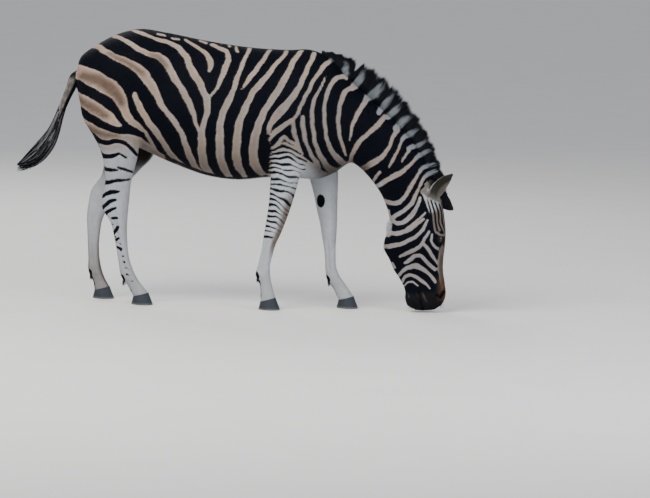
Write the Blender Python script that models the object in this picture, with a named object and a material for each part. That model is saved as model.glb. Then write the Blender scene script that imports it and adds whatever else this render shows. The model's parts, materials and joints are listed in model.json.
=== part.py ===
"""A plains zebra grazing, life-size, as solids that meet with a hair's gap.

Frame: metres, +X towards the head, +Y to the animal's left, +Z up, with the
floor at Z 0 and the origin below the middle of the animal. The right legs
trail and the left foreleg reaches forward, as in a slow walk with the muzzle
at the ground. The tables are in centimetres for a zebra 130 cm high at the
withers, and UNIT scales them to WITHERS_HEIGHT.
"""

import math
from collections import namedtuple

import bmesh
import bpy
import numpy as np

WITHERS_HEIGHT = 1.30
TABLE_WITHERS = 130.0
UNIT = WITHERS_HEIGHT / TABLE_WITHERS
GAP = 0.0003
WELD_DISTANCE = 0.0001
HEAD_TURN = math.radians(18)
RIGHT, LEFT = -1, 1

BODY_SIDES = 30
BODY_STEPS = 2
LEG_SIDES = 14
LEG_STEPS = 2

# A section of the body: the point on the back or crest line, the point on the
# belly or throat line, half the width, how far down the widest level lies as
# a share, and the squareness of the upper and the lower half (2 is round).
Section = namedtuple("Section", "name top_x top_z low_x low_z half widest upper lower")

BODY = [
    Section("rump_end", -81.2, 116.0, -81.0, 105.5, 3.5, 0.50, 2.0, 2.0),
    Section("buttock", -79.8, 122.2, -78.4, 97.0, 9.6, 0.50, 2.2, 2.2),
    Section("rump", -71.0, 129.4, -69.0, 87.0, 17.0, 0.50, 2.2, 2.2),
    Section("haunch", -60.5, 135.0, -57.5, 81.0, 21.2, 0.47, 2.1, 2.2),
    Section("croup", -50.8, 137.6, -47.3, 77.0, 22.8, 0.46, 1.95, 2.2),
    Section("loin", -36.0, 136.2, -32.0, 70.6, 23.0, 0.50, 1.95, 2.15),
    Section("barrel", -18.0, 133.2, -12.5, 64.6, 24.0, 0.55, 1.9, 2.1),
    Section("belly", -3.0, 131.2, 2.0, 63.3, 24.4, 0.56, 1.85, 2.1),
    Section("ribs", 12.0, 130.0, 17.0, 65.0, 23.0, 0.56, 1.8, 2.1),
    Section("girth", 26.0, 129.8, 31.0, 65.2, 20.2, 0.56, 1.7, 2.1),
    Section("withers", 37.5, 130.0, 44.0, 65.8, 17.8, 0.56, 1.6, 2.1),
    Section("shoulder", 45.5, 127.0, 51.0, 69.0, 16.2, 0.57, 1.6, 2.1),
    Section("breast", 52.5, 120.8, 55.8, 72.6, 14.4, 0.56, 1.65, 2.1),
    Section("neck_root", 59.5, 114.3, 58.6, 73.9, 12.4, 0.55, 1.7, 2.0),
    Section("neck_low", 70.0, 105.3, 63.5, 71.0, 10.8, 0.53, 1.75, 2.0),
    Section("neck_middle", 81.2, 95.1, 69.0, 65.3, 9.4, 0.52, 1.75, 2.0),
    Section("neck_high", 92.6, 81.5, 75.0, 56.2, 8.5, 0.50, 1.8, 2.0),
    Section("throat", 100.6, 67.6, 78.3, 45.4, 8.2, 0.45, 1.9, 2.0),
    Section("poll", 103.6, 60.0, 77.8, 40.2, 8.4, 0.40, 2.1, 2.0),
    Section("jaw_angle", 105.7, 51.5, 76.0, 36.0, 9.0, 0.36, 2.3, 2.0),
    Section("brow", 107.0, 41.5, 75.9, 31.2, 9.6, 0.32, 2.5, 1.9),
    Section("cheek", 107.0, 33.5, 78.8, 26.0, 8.4, 0.34, 2.4, 1.8),
    Section("face", 106.5, 27.0, 81.2, 20.8, 6.8, 0.40, 2.2, 1.8),
    Section("nose", 106.6, 20.5, 84.8, 15.6, 5.6, 0.44, 2.1, 1.9),
    Section("nostril", 107.8, 14.0, 87.2, 10.4, 5.6, 0.42, 2.2, 2.1),
    Section("lips", 108.2, 8.5, 87.6, 6.0, 5.4, 0.45, 2.3, 2.2),
    Section("mouth", 106.6, 4.2, 88.8, 3.0, 4.7, 0.48, 2.3, 2.2),
    Section("mouth_end", 103.4, 1.6, 92.2, 1.1, 3.2, 0.50, 2.2, 2.2),
]

# Swellings and hollows of the flesh: centre, reach along each axis, and how
# far the surface stands out. The centre's Y is its distance from the midline.
Form = namedtuple("Form", "name x y z reach_x reach_y reach_z push")

FORMS = [
    Form("hip_point", -48.0, 19.0, 122.0, 7.0, 9.0, 7.0, 1.2),
    Form("flank_hollow", -34.0, 24.0, 112.0, 9.0, 9.0, 13.0, -1.6),
    Form("shoulder_blade", 36.0, 16.0, 112.0, 9.0, 9.0, 15.0, 1.3),
    Form("shoulder_point", 47.0, 16.0, 87.0, 7.0, 8.0, 8.0, 1.6),
    Form("breast_muscle", 54.0, 7.0, 80.0, 6.0, 6.0, 7.0, 1.0),
    Form("behind_elbow", 15.0, 22.0, 78.0, 6.0, 9.0, 10.0, -1.6),
    Form("neck_groove", 67.0, 9.0, 84.0, 6.0, 5.0, 5.0, -0.8),
    Form("brow_ridge", 104.4, 8.5, 40.2, 2.6, 3.0, 2.2, 1.0),
    Form("temple", 103.2, 7.0, 46.0, 2.6, 3.0, 2.4, -0.7),
    Form("cheek_muscle", 86.5, 6.5, 37.5, 6.5, 5.0, 7.5, 1.3),
    Form("face_crest", 97.0, 7.5, 29.0, 2.2, 4.0, 5.0, 0.7),
    Form("under_crest", 92.0, 7.0, 24.0, 3.2, 4.0, 5.0, -0.7),
    Form("nostril_rim", 104.3, 5.4, 8.6, 2.6, 2.6, 3.0, 1.0),
    Form("chin", 90.5, 2.6, 7.0, 3.0, 3.6, 2.8, 0.6),
]

# A section of a leg: the point on its back line, the point on its front line,
# how far its middle lies from the midline, and half its width.
Ring = namedtuple("Ring", "name back_x back_z front_x front_z off half")

FORELEG_RIGHT = [
    Ring("shoulder", 23.5, 95.0, 43.0, 97.0, 9.4, 6.6),
    Ring("upper_arm", 18.5, 86.0, 40.0, 87.5, 10.9, 7.3),
    Ring("elbow", 18.2, 78.0, 37.4, 79.5, 12.0, 7.0),
    Ring("forearm_top", 19.4, 70.2, 35.6, 71.0, 12.4, 6.3),
    Ring("forearm", 19.6, 60.2, 33.2, 61.0, 12.2, 5.3),
    Ring("forearm_low", 18.8, 50.0, 30.3, 50.6, 11.9, 4.4),
    Ring("above_knee", 17.7, 42.2, 27.6, 42.8, 11.7, 3.9),
    Ring("knee", 16.9, 37.0, 25.6, 37.6, 11.5, 4.0),
    Ring("below_knee", 16.4, 32.6, 23.5, 33.0, 11.4, 3.3),
    Ring("cannon", 15.4, 26.8, 21.9, 27.2, 11.3, 2.7),
    Ring("cannon_low", 14.2, 21.6, 20.8, 22.0, 11.2, 2.8),
    Ring("fetlock", 13.3, 17.6, 20.8, 18.4, 11.1, 3.4),
    Ring("pastern", 15.5, 12.4, 21.6, 13.8, 11.1, 2.9),
]

FORELEG_LEFT = [
    Ring("shoulder", 24.5, 95.0, 44.5, 98.0, 9.4, 6.6),
    Ring("upper_arm", 26.5, 86.0, 46.8, 88.5, 10.9, 7.3),
    Ring("elbow", 30.2, 77.2, 48.8, 80.5, 12.0, 7.0),
    Ring("forearm_top", 34.0, 69.0, 50.2, 72.6, 12.4, 6.3),
    Ring("forearm", 37.6, 59.0, 50.6, 62.0, 12.2, 5.3),
    Ring("forearm_low", 40.0, 49.0, 50.7, 51.4, 11.9, 4.4),
    Ring("above_knee", 42.0, 41.2, 50.8, 43.2, 11.7, 3.9),
    Ring("knee", 43.0, 35.8, 50.7, 37.6, 11.5, 4.0),
    Ring("below_knee", 44.0, 31.0, 50.5, 32.4, 11.4, 3.3),
    Ring("cannon", 44.8, 25.0, 50.6, 26.2, 11.3, 2.7),
    Ring("cannon_low", 45.2, 19.2, 51.0, 20.8, 11.2, 2.8),
    Ring("fetlock", 45.9, 14.9, 52.4, 17.0, 11.1, 3.4),
    Ring("pastern", 49.6, 9.4, 56.2, 11.6, 11.1, 2.9),
]

HIND_LEG_RIGHT = [
    Ring("hip", -76.0, 111.0, -54.0, 112.0, 9.2, 7.6),
    Ring("thigh", -77.8, 101.5, -49.0, 102.7, 10.4, 10.0),
    Ring("thigh_low", -75.2, 91.5, -46.8, 92.6, 11.5, 10.0),
    Ring("stifle", -70.0, 83.6, -46.0, 85.1, 12.3, 8.9),
    Ring("gaskin_top", -66.2, 76.4, -46.6, 77.4, 12.6, 7.6),
    Ring("gaskin", -64.2, 68.0, -48.6, 68.6, 12.5, 6.1),
    Ring("gaskin_low", -63.8, 60.0, -50.4, 60.6, 12.3, 4.6),
    Ring("hock_point", -65.2, 53.4, -51.0, 53.6, 12.1, 3.9),
    Ring("hock", -64.8, 47.4, -51.5, 47.4, 11.9, 4.0),
    Ring("below_hock", -60.8, 41.0, -51.9, 41.2, 11.7, 3.4),
    Ring("cannon", -58.6, 33.0, -51.8, 33.2, 11.5, 2.8),
    Ring("cannon_low", -56.2, 20.8, -50.0, 21.2, 11.3, 2.9),
    Ring("fetlock", -54.6, 13.4, -47.2, 14.6, 11.2, 3.5),
    Ring("pastern", -51.2, 9.0, -44.8, 10.8, 11.2, 3.1),
]

HIND_LEG_LEFT = [
    Ring("hip", -76.0, 111.0, -54.0, 112.0, 9.2, 7.6),
    Ring("thigh", -77.6, 101.5, -47.5, 101.5, 10.4, 10.0),
    Ring("thigh_low", -75.6, 92.0, -43.6, 90.5, 11.5, 10.0),
    Ring("stifle", -72.0, 84.4, -41.6, 80.4, 12.3, 8.9),
    Ring("gaskin_top", -69.8, 77.2, -44.0, 72.4, 12.6, 7.6),
    Ring("gaskin", -69.0, 69.2, -50.2, 65.6, 12.5, 6.1),
    Ring("gaskin_low", -70.5, 61.6, -56.7, 58.4, 12.3, 4.6),
    Ring("hock_point", -75.0, 54.8, -62.3, 52.4, 12.1, 3.9),
    Ring("hock", -76.5, 48.0, -65.1, 46.8, 11.9, 4.0),
    Ring("below_hock", -77.0, 41.2, -68.4, 40.8, 11.7, 3.4),
    Ring("cannon", -76.6, 33.0, -69.8, 33.0, 11.5, 2.8),
    Ring("cannon_low", -75.8, 20.6, -69.8, 20.8, 11.3, 2.9),
    Ring("fetlock", -75.4, 13.2, -68.2, 13.6, 11.2, 3.5),
    Ring("pastern", -73.1, 8.6, -66.6, 9.8, 11.2, 3.1),
]

# A leg: its side, its rings, the joint ring at which the cannon is parted
# from the leg above it, the x of its heel on the floor, and the corners of
# the block that parts its top from the trunk, each x, distance out and z.
Leg = namedtuple("Leg", "side rings joint heel_x corners")


def block(back_x, front_x, inner_z, outer_z):
    """A block's eight corners, its top rising outwards from inner_z to outer_z."""
    profile = ((0.6, 20.0), (0.6, inner_z), (34.0, outer_z), (34.0, 20.0))
    return [(x, y, z) for x in (back_x, front_x) for y, z in profile]


LEGS = {
    "fore_right": Leg(RIGHT, FORELEG_RIGHT, "knee", 15.2, block(8.0, 48.0, 59.5, 78.0)),
    "fore_left": Leg(LEFT, FORELEG_LEFT, "knee", 51.5, block(24.0, 57.5, 61.0, 79.5)),
    "hind_right": Leg(RIGHT, HIND_LEG_RIGHT, "hock", -49.2, block(-92.0, -45.6, 66.0, 102.5)),
    "hind_left": Leg(LEFT, HIND_LEG_LEFT, "hock", -73.0, block(-92.0, -41.0, 64.0, 100.5)),
}

HOOF_LENGTH = 11.0
HOOF_HALF = 4.9
HOOF_SIDES = 16
CORONET_BACK = (0.9, 3.9)
CORONET_FRONT = (8.6, 6.1)
CORONET_HALF = 3.8

EYE_CENTRE = (102.6, 7.7, 37.6)
EYE_RADIUS = 2.15

# An ear: its side, where it grows from, the way it points and the way its
# opening faces, with Y away from the midline.
Ear = namedtuple("Ear", "side root direction opening")
EAR_LENGTH = 19.0
EAR_HALF_WIDTH = 4.5
EAR_WALL = 0.6
EARS = {
    "ear_right": Ear(RIGHT, (97.0, 5.4, 56.4), (0.52, 0.43, 0.735), (0.35, 0.85, -0.40)),
    "ear_left": Ear(LEFT, (99.0, 5.0, 59.2), (0.76, 0.46, -0.46), (0.10, 0.80, -0.60)),
}

# The mane: its outer line and the line inside the crest that it grows from.
MANE = [
    Section("mane_start", 42.0, 130.3, 43.0, 123.5, 1.2, 0.60, 2.0, 2.0),
    Section("mane_withers", 49.5, 129.0, 46.5, 122.0, 1.4, 0.70, 1.8, 2.0),
    Section("mane_low", 58.5, 126.4, 51.0, 116.5, 1.6, 0.75, 1.7, 2.0),
    Section("mane_rise", 69.0, 121.6, 60.0, 108.5, 1.8, 0.75, 1.6, 2.0),
    Section("mane_middle", 79.7, 113.1, 69.5, 100.5, 1.9, 0.75, 1.6, 2.0),
    Section("mane_crest", 89.4, 101.6, 79.5, 91.0, 1.9, 0.75, 1.6, 2.0),
    Section("mane_high", 97.8, 88.6, 88.0, 81.0, 1.9, 0.75, 1.6, 2.0),
    Section("mane_upper", 103.6, 75.0, 94.5, 71.0, 1.8, 0.75, 1.6, 2.0),
    Section("mane_poll", 106.6, 65.0, 97.8, 63.5, 1.8, 0.75, 1.6, 2.0),
    Section("forelock", 108.0, 57.0, 100.5, 58.0, 1.5, 0.70, 1.8, 2.0),
    Section("forelock_end", 107.4, 53.6, 103.0, 54.6, 0.9, 0.60, 2.0, 2.0),
]

# A point on the tail's middle line with its half thickness.
Knot = namedtuple("Knot", "name x z half")
TAIL = [
    Knot("tail_root", -76.0, 113.5, 3.4),
    Knot("tail_bend", -81.8, 112.0, 2.9),
    Knot("dock_top", -84.6, 106.0, 2.2),
    Knot("dock", -87.6, 99.0, 1.9),
    Knot("dock_end", -90.2, 91.5, 2.1),
    Knot("tuft_top", -92.4, 85.0, 2.8),
    Knot("tuft", -96.0, 78.2, 3.9),
    Knot("tuft_low", -101.2, 72.2, 4.0),
    Knot("tuft_end", -107.0, 68.6, 2.3),
    Knot("tuft_tip", -111.2, 66.8, 0.5),
]
TAIL_SPLIT = "dock_end"
TAIL_SIDES = 12

COAT_BLACK = (0.02, 0.022, 0.03)
COAT_PALE = (0.62, 0.52, 0.42)
COAT_WHITE = (0.78, 0.76, 0.74)
HOOF_GREY = (0.07, 0.075, 0.085)
EYE_BROWN = (0.03, 0.015, 0.008)
BODY_COLOURS = {"coat": COAT_PALE, "legs": COAT_WHITE, "dark_hair": COAT_BLACK}


def clear_scene():
    """Removes every object of the startup scene."""
    for obj in list(bpy.data.objects):
        bpy.data.objects.remove(obj)


def material(name, colour, roughness):
    """A Principled material, or the one made before under this name."""
    found = bpy.data.materials.get(name)
    if found:
        return found
    made = bpy.data.materials.new(name)
    made.use_nodes = True
    shader = made.node_tree.nodes["Principled BSDF"]
    shader.inputs["Base Color"].default_value = (*colour, 1)
    shader.inputs["Roughness"].default_value = roughness
    shader.inputs["Metallic"].default_value = 0
    return made


def smooth_rows(rows, steps):
    """Rows of numbers with a cubic through them, steps rows to each span."""
    rows = np.asarray(rows, float)
    span = np.linalg.norm(np.diff(rows, axis=0), axis=1)[:, None]
    rate = np.diff(rows, axis=0) / span
    slope = np.empty_like(rows)
    slope[0], slope[-1] = rate[0], rate[-1]
    slope[1:-1] = (rate[:-1] * span[1:] + rate[1:] * span[:-1]) / (span[1:] + span[:-1])
    t = (np.arange(steps) / steps)[None, :, None]
    start, end = rows[:-1, None], rows[1:, None]
    leave, arrive = slope[:-1, None] * span[:, None], slope[1:, None] * span[:, None]
    curve = (
        start * (2 * t**3 - 3 * t**2 + 1)
        + leave * (t**3 - 2 * t**2 + t)
        + end * (3 * t**2 - 2 * t**3)
        + arrive * (t**3 - t**2)
    )
    return np.vstack([curve.reshape(-1, rows.shape[1]), rows[-1:]])


def ring_angles(sides):
    """Angles round a section, from the top over the left side."""
    return np.arange(sides) * 2 * math.pi / sides


def section_grid(rows, sides):
    """Rings of points from rows of top, low, half, widest, upper, lower and off."""
    top_x, top_z, low_x, low_z, half, widest, upper, lower, off = np.asarray(rows).T[:, :, None]
    angle = ring_angles(sides)[None]
    up, across = np.cos(angle), np.sin(angle)
    power = 2 / np.where(up > 0, 2 + (upper - 2) * up, 2 - (lower - 2) * up)
    along = np.abs(up) ** power * np.sign(up)
    reach = np.where(along > 0, along * widest, along * (1 - widest))
    share = widest - reach
    x = top_x + (low_x - top_x) * share
    z = top_z + (low_z - top_z) * share
    y = off + half * np.abs(across) ** power * np.sign(across)
    return np.stack([x, y, z], axis=-1)


def push_forms(grid):
    """The grid with each of FORMS pushed out along the surface's normal."""
    around = np.roll(grid, -1, axis=1) - np.roll(grid, 1, axis=1)
    along = np.gradient(grid, axis=0)
    normal = np.cross(along, around)
    size = np.linalg.norm(normal, axis=2, keepdims=True)
    normal /= np.maximum(size, 1e-9)
    centre = grid.mean(axis=1, keepdims=True)
    if ((grid - centre) * normal).sum() < 0:
        normal = -normal
    spot = np.stack([grid[..., 0], np.abs(grid[..., 1]), grid[..., 2]], axis=-1)
    moved = np.zeros_like(grid)
    for form in FORMS:
        away = (spot - [form.x, form.y, form.z]) / [form.reach_x, form.reach_y, form.reach_z]
        moved += form.push * np.exp(-(away**2).sum(axis=-1))[..., None] * normal
    return grid + moved


NECK_START = (55.0, 95.0)
NECK_END = (90.0, 58.0)
TURN_STEPS = 65


def turn_head(points):
    """Points with the neck bent to the left about the upright axis.

    The share of the turn grows along the neck's own line, from none at
    NECK_START to all of it at NECK_END, and the head past it stays rigid.
    """
    line = np.subtract(NECK_END, NECK_START)
    length = np.linalg.norm(line)
    share = ((points[..., [0, 2]] - NECK_START) @ line) / length**2
    share = np.clip(share, 0, 1)
    turn = HEAD_TURN * share**2 * (3 - 2 * share)
    steps = np.linspace(0, 1, TURN_STEPS)
    angles = HEAD_TURN * steps**2 * (3 - 2 * steps)
    stride = line[0] / (TURN_STEPS - 1)
    back = np.interp(share, steps, np.cumsum(np.cos(angles) - 1) * stride)
    aside = np.interp(share, steps, np.cumsum(np.sin(angles)) * stride)
    pivot = NECK_START[0] + line[0] * share
    ahead = points[..., 0] - pivot
    x = pivot + back + ahead * np.cos(turn) - points[..., 1] * np.sin(turn)
    y = aside + ahead * np.sin(turn) + points[..., 1] * np.cos(turn)
    return np.stack([x, y, points[..., 2]], axis=-1)


def section_rows(sections, steps):
    """Smoothed rows of a list of Section, each with its middle on the midline."""
    return smooth_rows([[*s[1:], 0.0] for s in sections], steps)


def ring_rows(rings, steps):
    """Smoothed rows of a list of Ring. The front line is the section's top."""
    rows = [[r.front_x, r.front_z, r.back_x, r.back_z, r.half, 0.5, 2.2, 2.1, r.off] for r in rings]
    return smooth_rows(rows, steps)


def add_mesh(name, points, faces):
    """An object in metres, its faces turned outwards."""
    mesh = bpy.data.meshes.new(name)
    mesh.from_pydata((np.asarray(points) * UNIT).tolist(), [], faces)
    shape = bmesh.new()
    shape.from_mesh(mesh)
    bmesh.ops.recalc_face_normals(shape, faces=shape.faces)
    shape.to_mesh(mesh)
    shape.free()
    obj = bpy.data.objects.new(name, mesh)
    bpy.context.scene.collection.objects.link(obj)
    return obj


def tube(name, grid):
    """A closed solid from rings of points, with a fan of faces at each end."""
    rings, sides = grid.shape[:2]
    points = np.vstack([grid.reshape(-1, 3), grid[0].mean(axis=0), grid[-1].mean(axis=0)])
    first, last = rings * sides, rings * sides + 1
    faces = []
    for ring in range(rings - 1):
        for side in range(sides):
            after = (side + 1) % sides
            low, high = ring * sides, (ring + 1) * sides
            faces.append((low + side, low + after, high + after, high + side))
    for side in range(sides):
        after = (side + 1) % sides
        end = (rings - 1) * sides
        faces.append((side, first, after))
        faces.append((end + side, end + after, last))
    return add_mesh(name, points, faces)


def crescent_tube(name, grid):
    """A closed solid from crescent rings, their first half the outside and their second the inside."""
    rings, sides = grid.shape[:2]
    faces = []
    for ring in range(rings - 1):
        for side in range(sides):
            after = (side + 1) % sides
            low, high = ring * sides, (ring + 1) * sides
            faces.append((low + side, low + after, high + after, high + side))
    for start in (0, (rings - 1) * sides):
        for side in range(sides // 2 - 1):
            far = sides - 1 - side
            faces.append((start + side, start + side + 1, start + far - 1, start + far))
    return add_mesh(name, grid.reshape(-1, 3), faces)


def part_grid(grid, start, end, open_start, open_end):
    """Rings start to end, drawn back by half a gap at each end that meets another piece."""
    piece = grid[start : end + 1].copy()
    half_gap = GAP / UNIT / 2
    if open_start:
        way = piece[1].mean(axis=0) - piece[0].mean(axis=0)
        piece[0] += way / np.linalg.norm(way) * half_gap
    if open_end:
        way = piece[-2].mean(axis=0) - piece[-1].mean(axis=0)
        piece[-1] += way / np.linalg.norm(way) * half_gap
    return piece


def hide_helper(obj):
    """Marks a cutter, which isn't a part of the model."""
    obj.hide_render = True
    obj.display_type = "WIRE"
    return obj


def boolean(obj, operation, other):
    """Adds a Boolean modifier that joins, cuts or keeps what is in other."""
    modifier = obj.modifiers.new(f"{operation.lower()}_{other.name}", "BOOLEAN")
    modifier.operation = operation
    modifier.solver = "EXACT"
    modifier.object = other
    return obj


def weld(obj):
    """Merges the doubled points that a cut leaves where two edges all but meet."""
    modifier = obj.modifiers.new("weld", "WELD")
    modifier.merge_threshold = WELD_DISTANCE
    return obj


def baked_copy(obj, name):
    """A new object whose mesh is obj with its modifiers applied."""
    graph = bpy.context.evaluated_depsgraph_get()
    mesh = bpy.data.meshes.new_from_object(obj.evaluated_get(graph))
    made = bpy.data.objects.new(name, mesh)
    bpy.context.scene.collection.objects.link(made)
    return made


def grown(obj):
    """A hidden copy that stands out from obj by the gap, to cut its neighbours with."""
    copy = baked_copy(obj, f"grown_{obj.name}")
    swell = copy.modifiers.new("swell", "DISPLACE")
    swell.strength = GAP
    swell.mid_level = 0
    return hide_helper(copy)


def finish(obj, name, colour, roughness):
    """Gives a solid its material and smooth shading."""
    obj.data.materials.clear()
    obj.data.materials.append(material(name, colour, roughness))
    obj.data.shade_smooth()
    obj.data.set_sharp_from_angle(angle=math.radians(50))
    return obj


def coronet_ring(leg):
    """The ring where the pastern meets the hoof, which stands flat on the floor."""
    return Ring(
        "coronet",
        leg.heel_x + CORONET_BACK[0],
        CORONET_BACK[1],
        leg.heel_x + CORONET_FRONT[0],
        CORONET_FRONT[1],
        leg.rings[-1].off,
        CORONET_HALF,
    )


def leg_grid(leg):
    """Rings of points of one leg down to its coronet, and the index of the joint's ring."""
    grid = section_grid(ring_rows([*leg.rings, coronet_ring(leg)], LEG_STEPS), LEG_SIDES)
    grid[..., 1] *= leg.side
    return grid, [r.name for r in leg.rings].index(leg.joint) * LEG_STEPS


def make_hoof(name, leg):
    """A hoof: its wall flares from the coronet to a flat sole, round at the toe and narrow at the heel."""
    angle = np.arange(HOOF_SIDES) * 2 * math.pi / HOOF_SIDES
    toe, side = np.cos(angle), np.sin(angle)
    half_gap = GAP / UNIT
    levels = []
    for share in (0.0, 0.3, 0.75, 0.95, 1.0):
        flare = min(share / 0.95, 1.0)
        tuck = 0.0 if share < 1 else 0.35
        back = CORONET_BACK[0] * (1 - flare) + tuck
        front = CORONET_FRONT[0] + (HOOF_LENGTH - CORONET_FRONT[0]) * flare - tuck
        half = CORONET_HALF + (HOOF_HALF - CORONET_HALF) * flare - tuck
        middle, reach = (front + back) / 2, (front - back) / 2
        x = middle + reach * toe
        wide = half * side * (1 + 0.16 * toe * (1 - toe * 0.5) * flare)
        rim = CORONET_BACK[1] + (CORONET_FRONT[1] - CORONET_BACK[1]) * (toe + 1) / 2
        z = (rim - half_gap) * (1 - share)
        levels.append(np.stack([leg.heel_x + x, (leg.rings[-1].off + wide) * leg.side, z], axis=-1))
    hoof = tube(name, np.array(levels))
    return finish(hoof, "hoof", HOOF_GREY, 0.45)


def wedge(name, leg, grow):
    """The convex cutter that parts a leg's top from the trunk, its faces moved out by grow."""
    middle = np.mean(leg.corners, axis=0)
    shape = bmesh.new()
    for corner in leg.corners:
        x, y, z = corner + np.sign(np.subtract(corner, middle)) * grow
        shape.verts.new((x * UNIT, y * leg.side * UNIT, z * UNIT))
    bmesh.ops.convex_hull(shape, input=shape.verts)
    bmesh.ops.recalc_face_normals(shape, faces=shape.faces)
    mesh = bpy.data.meshes.new(name)
    shape.to_mesh(mesh)
    shape.free()
    obj = bpy.data.objects.new(name, mesh)
    bpy.context.scene.collection.objects.link(obj)
    return hide_helper(obj)


def make_legs():
    """The four legs' cannons and hooves, and their tops as helpers still to be parted from the trunk."""
    tops = {}
    for place, leg in LEGS.items():
        grid, split = leg_grid(leg)
        last = len(grid) - 1
        top = tube(f"top_{place}", part_grid(grid, 0, split, False, True))
        cannon = tube(f"{place}_cannon", part_grid(grid, split, last, True, False))
        finish(cannon, "legs", COAT_WHITE, 0.8)
        make_hoof(f"{place}_hoof", leg)
        tops[f"{place}_upper"] = (hide_helper(top), leg)
    return tops


def make_trunk_and_uppers(grid, tops):
    """Joins the trunk and the four leg tops, then parts them again along plane cuts."""
    flesh = hide_helper(tube("flesh", grid))
    for top, _ in tops.values():
        boolean(flesh, "UNION", top)
    whole = hide_helper(baked_copy(flesh, "whole_flesh"))
    trunk = baked_copy(whole, "trunk")
    for name, (_, leg) in tops.items():
        upper = baked_copy(whole, name)
        weld(boolean(upper, "INTERSECT", wedge(f"inside_{name}", leg, 0.0)))
        finish(upper, "coat", COAT_PALE, 0.75)
        boolean(trunk, "DIFFERENCE", wedge(f"outside_{name}", leg, GAP / UNIT))
    weld(trunk)
    finish(trunk, "coat", COAT_PALE, 0.75)


def make_eye(name, side):
    """An eyeball, and the swollen copy of it that cuts its socket."""
    centre = turn_head(np.array([EYE_CENTRE]) * [1, side, 1])[0] * UNIT
    eye = add_ball(name, centre, EYE_RADIUS * UNIT)
    finish(eye, "eye", EYE_BROWN, 0.08)
    return hide_helper(add_ball(f"socket_{name}", centre, EYE_RADIUS * UNIT + GAP))


def add_ball(name, centre, radius):
    """A UV sphere as an object, at its place."""
    mesh = bpy.data.meshes.new(name)
    shape = bmesh.new()
    bmesh.ops.create_uvsphere(shape, u_segments=12, v_segments=8, radius=radius)
    shape.to_mesh(mesh)
    shape.free()
    obj = bpy.data.objects.new(name, mesh)
    obj.location = centre
    bpy.context.scene.collection.objects.link(obj)
    return obj


MANE_SIDES = 12
EAR_SIDES = 9
EAR_RINGS = 10


def make_ear(name, ear):
    """A cupped leaf: crescents that wrap far round at the root and open towards the rounded tip."""
    axis = np.array(ear.direction) / np.linalg.norm(ear.direction)
    facing = np.array(ear.opening) - axis * (np.array(ear.opening) @ axis)
    facing /= np.linalg.norm(facing)
    across = np.cross(axis, facing)
    rings = []
    for share in np.linspace(0, 1, EAR_RINGS) ** 0.9:
        width = EAR_HALF_WIDTH * (0.60 + 0.40 * math.sin(math.pi * min(share / 0.9, 1)) ** 0.8)
        width *= math.sqrt(max(1 - share**6, 0.03))
        depth = width * (1.0 - 0.6 * share)
        wrap = math.radians(140 - 66 * share**0.6)
        arc = np.linspace(-wrap, wrap, EAR_SIDES)[:, None]
        wide = np.sin(arc) / math.sin(min(wrap, math.pi / 2))
        thin = min(EAR_WALL, depth * 0.45)
        outer = width * wide * across - depth * np.cos(arc) * facing
        inner = (width - thin) * wide * across - (depth - thin) * np.cos(arc) * facing
        lean = axis * EAR_LENGTH * share - facing * math.sin(math.pi * share)
        rings.append(np.vstack([outer, inner[::-1]]) + lean)
    grid = turn_head((np.array(rings) + ear.root) * [1, ear.side, 1])
    return finish(crescent_tube(name, grid), "coat", COAT_PALE, 0.75)


def tail_grid(knots):
    """Rings round the tail's middle line, each square to the line."""
    rows = smooth_rows([[k.x, k.z, k.half] for k in knots], BODY_STEPS)
    way = np.gradient(rows[:, :2], axis=0)
    way /= np.linalg.norm(way, axis=1, keepdims=True)
    angle = ring_angles(TAIL_SIDES)[None]
    half = rows[:, 2:3]
    x = rows[:, 0:1] + half * np.cos(angle) * way[:, 1:2]
    z = rows[:, 1:2] - half * np.cos(angle) * way[:, 0:1]
    y = half * np.sin(angle) * 0.85
    return np.stack([x, y, z], axis=-1)


def make_tail(cutter):
    """The dock, parted from the rump, and the tuft below it."""
    grid = tail_grid(TAIL)
    split = [k.name for k in TAIL].index(TAIL_SPLIT) * BODY_STEPS
    dock = tube("tail_dock", part_grid(grid, 0, split, False, True))
    weld(boolean(dock, "DIFFERENCE", cutter))
    finish(dock, "coat", COAT_PALE, 0.75)
    tuft = tube("tail_tuft", part_grid(grid, split, len(grid) - 1, True, False))
    finish(tuft, "dark_hair", COAT_BLACK, 0.6)


def make_mane(cutter):
    """The upright mane, from the withers to the forelock, standing on the crest."""
    grid = turn_head(section_grid(section_rows(MANE, BODY_STEPS), MANE_SIDES))
    mane = tube("mane", grid)
    weld(boolean(mane, "DIFFERENCE", cutter))
    finish(mane, "dark_hair", COAT_BLACK, 0.6)


def main():
    clear_scene()
    grid = turn_head(push_forms(section_grid(section_rows(BODY, BODY_STEPS), BODY_SIDES)))
    names = [s.name for s in BODY]
    root, throat = names.index("neck_root") * BODY_STEPS, names.index("throat") * BODY_STEPS
    make_trunk_and_uppers(part_grid(grid, 0, root, False, True), make_legs())
    neck = tube("neck", part_grid(grid, root, throat, True, True))
    finish(neck, "coat", COAT_PALE, 0.75)
    head = tube("head", part_grid(grid, throat, len(grid) - 1, True, False))
    finish(head, "coat", COAT_PALE, 0.75)
    for side, name in ((RIGHT, "eye_right"), (LEFT, "eye_left")):
        boolean(head, "DIFFERENCE", make_eye(name, side))
    weld(head)
    cutter = grown(hide_helper(tube("body", grid)))
    for name, ear in EARS.items():
        weld(boolean(make_ear(name, ear), "DIFFERENCE", cutter))
    make_mane(cutter)
    make_tail(cutter)


main()
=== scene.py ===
"""Dresses the frame of a grazing plains zebra: skin, coat, mane, tail, eyes and hooves.

Tables and shapes are in centimetres, +X towards the head, +Y to the animal's
left and +Z up, and meshes are in metres. The markings are drawn on a
board that stands square to the studio camera.
"""

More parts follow.
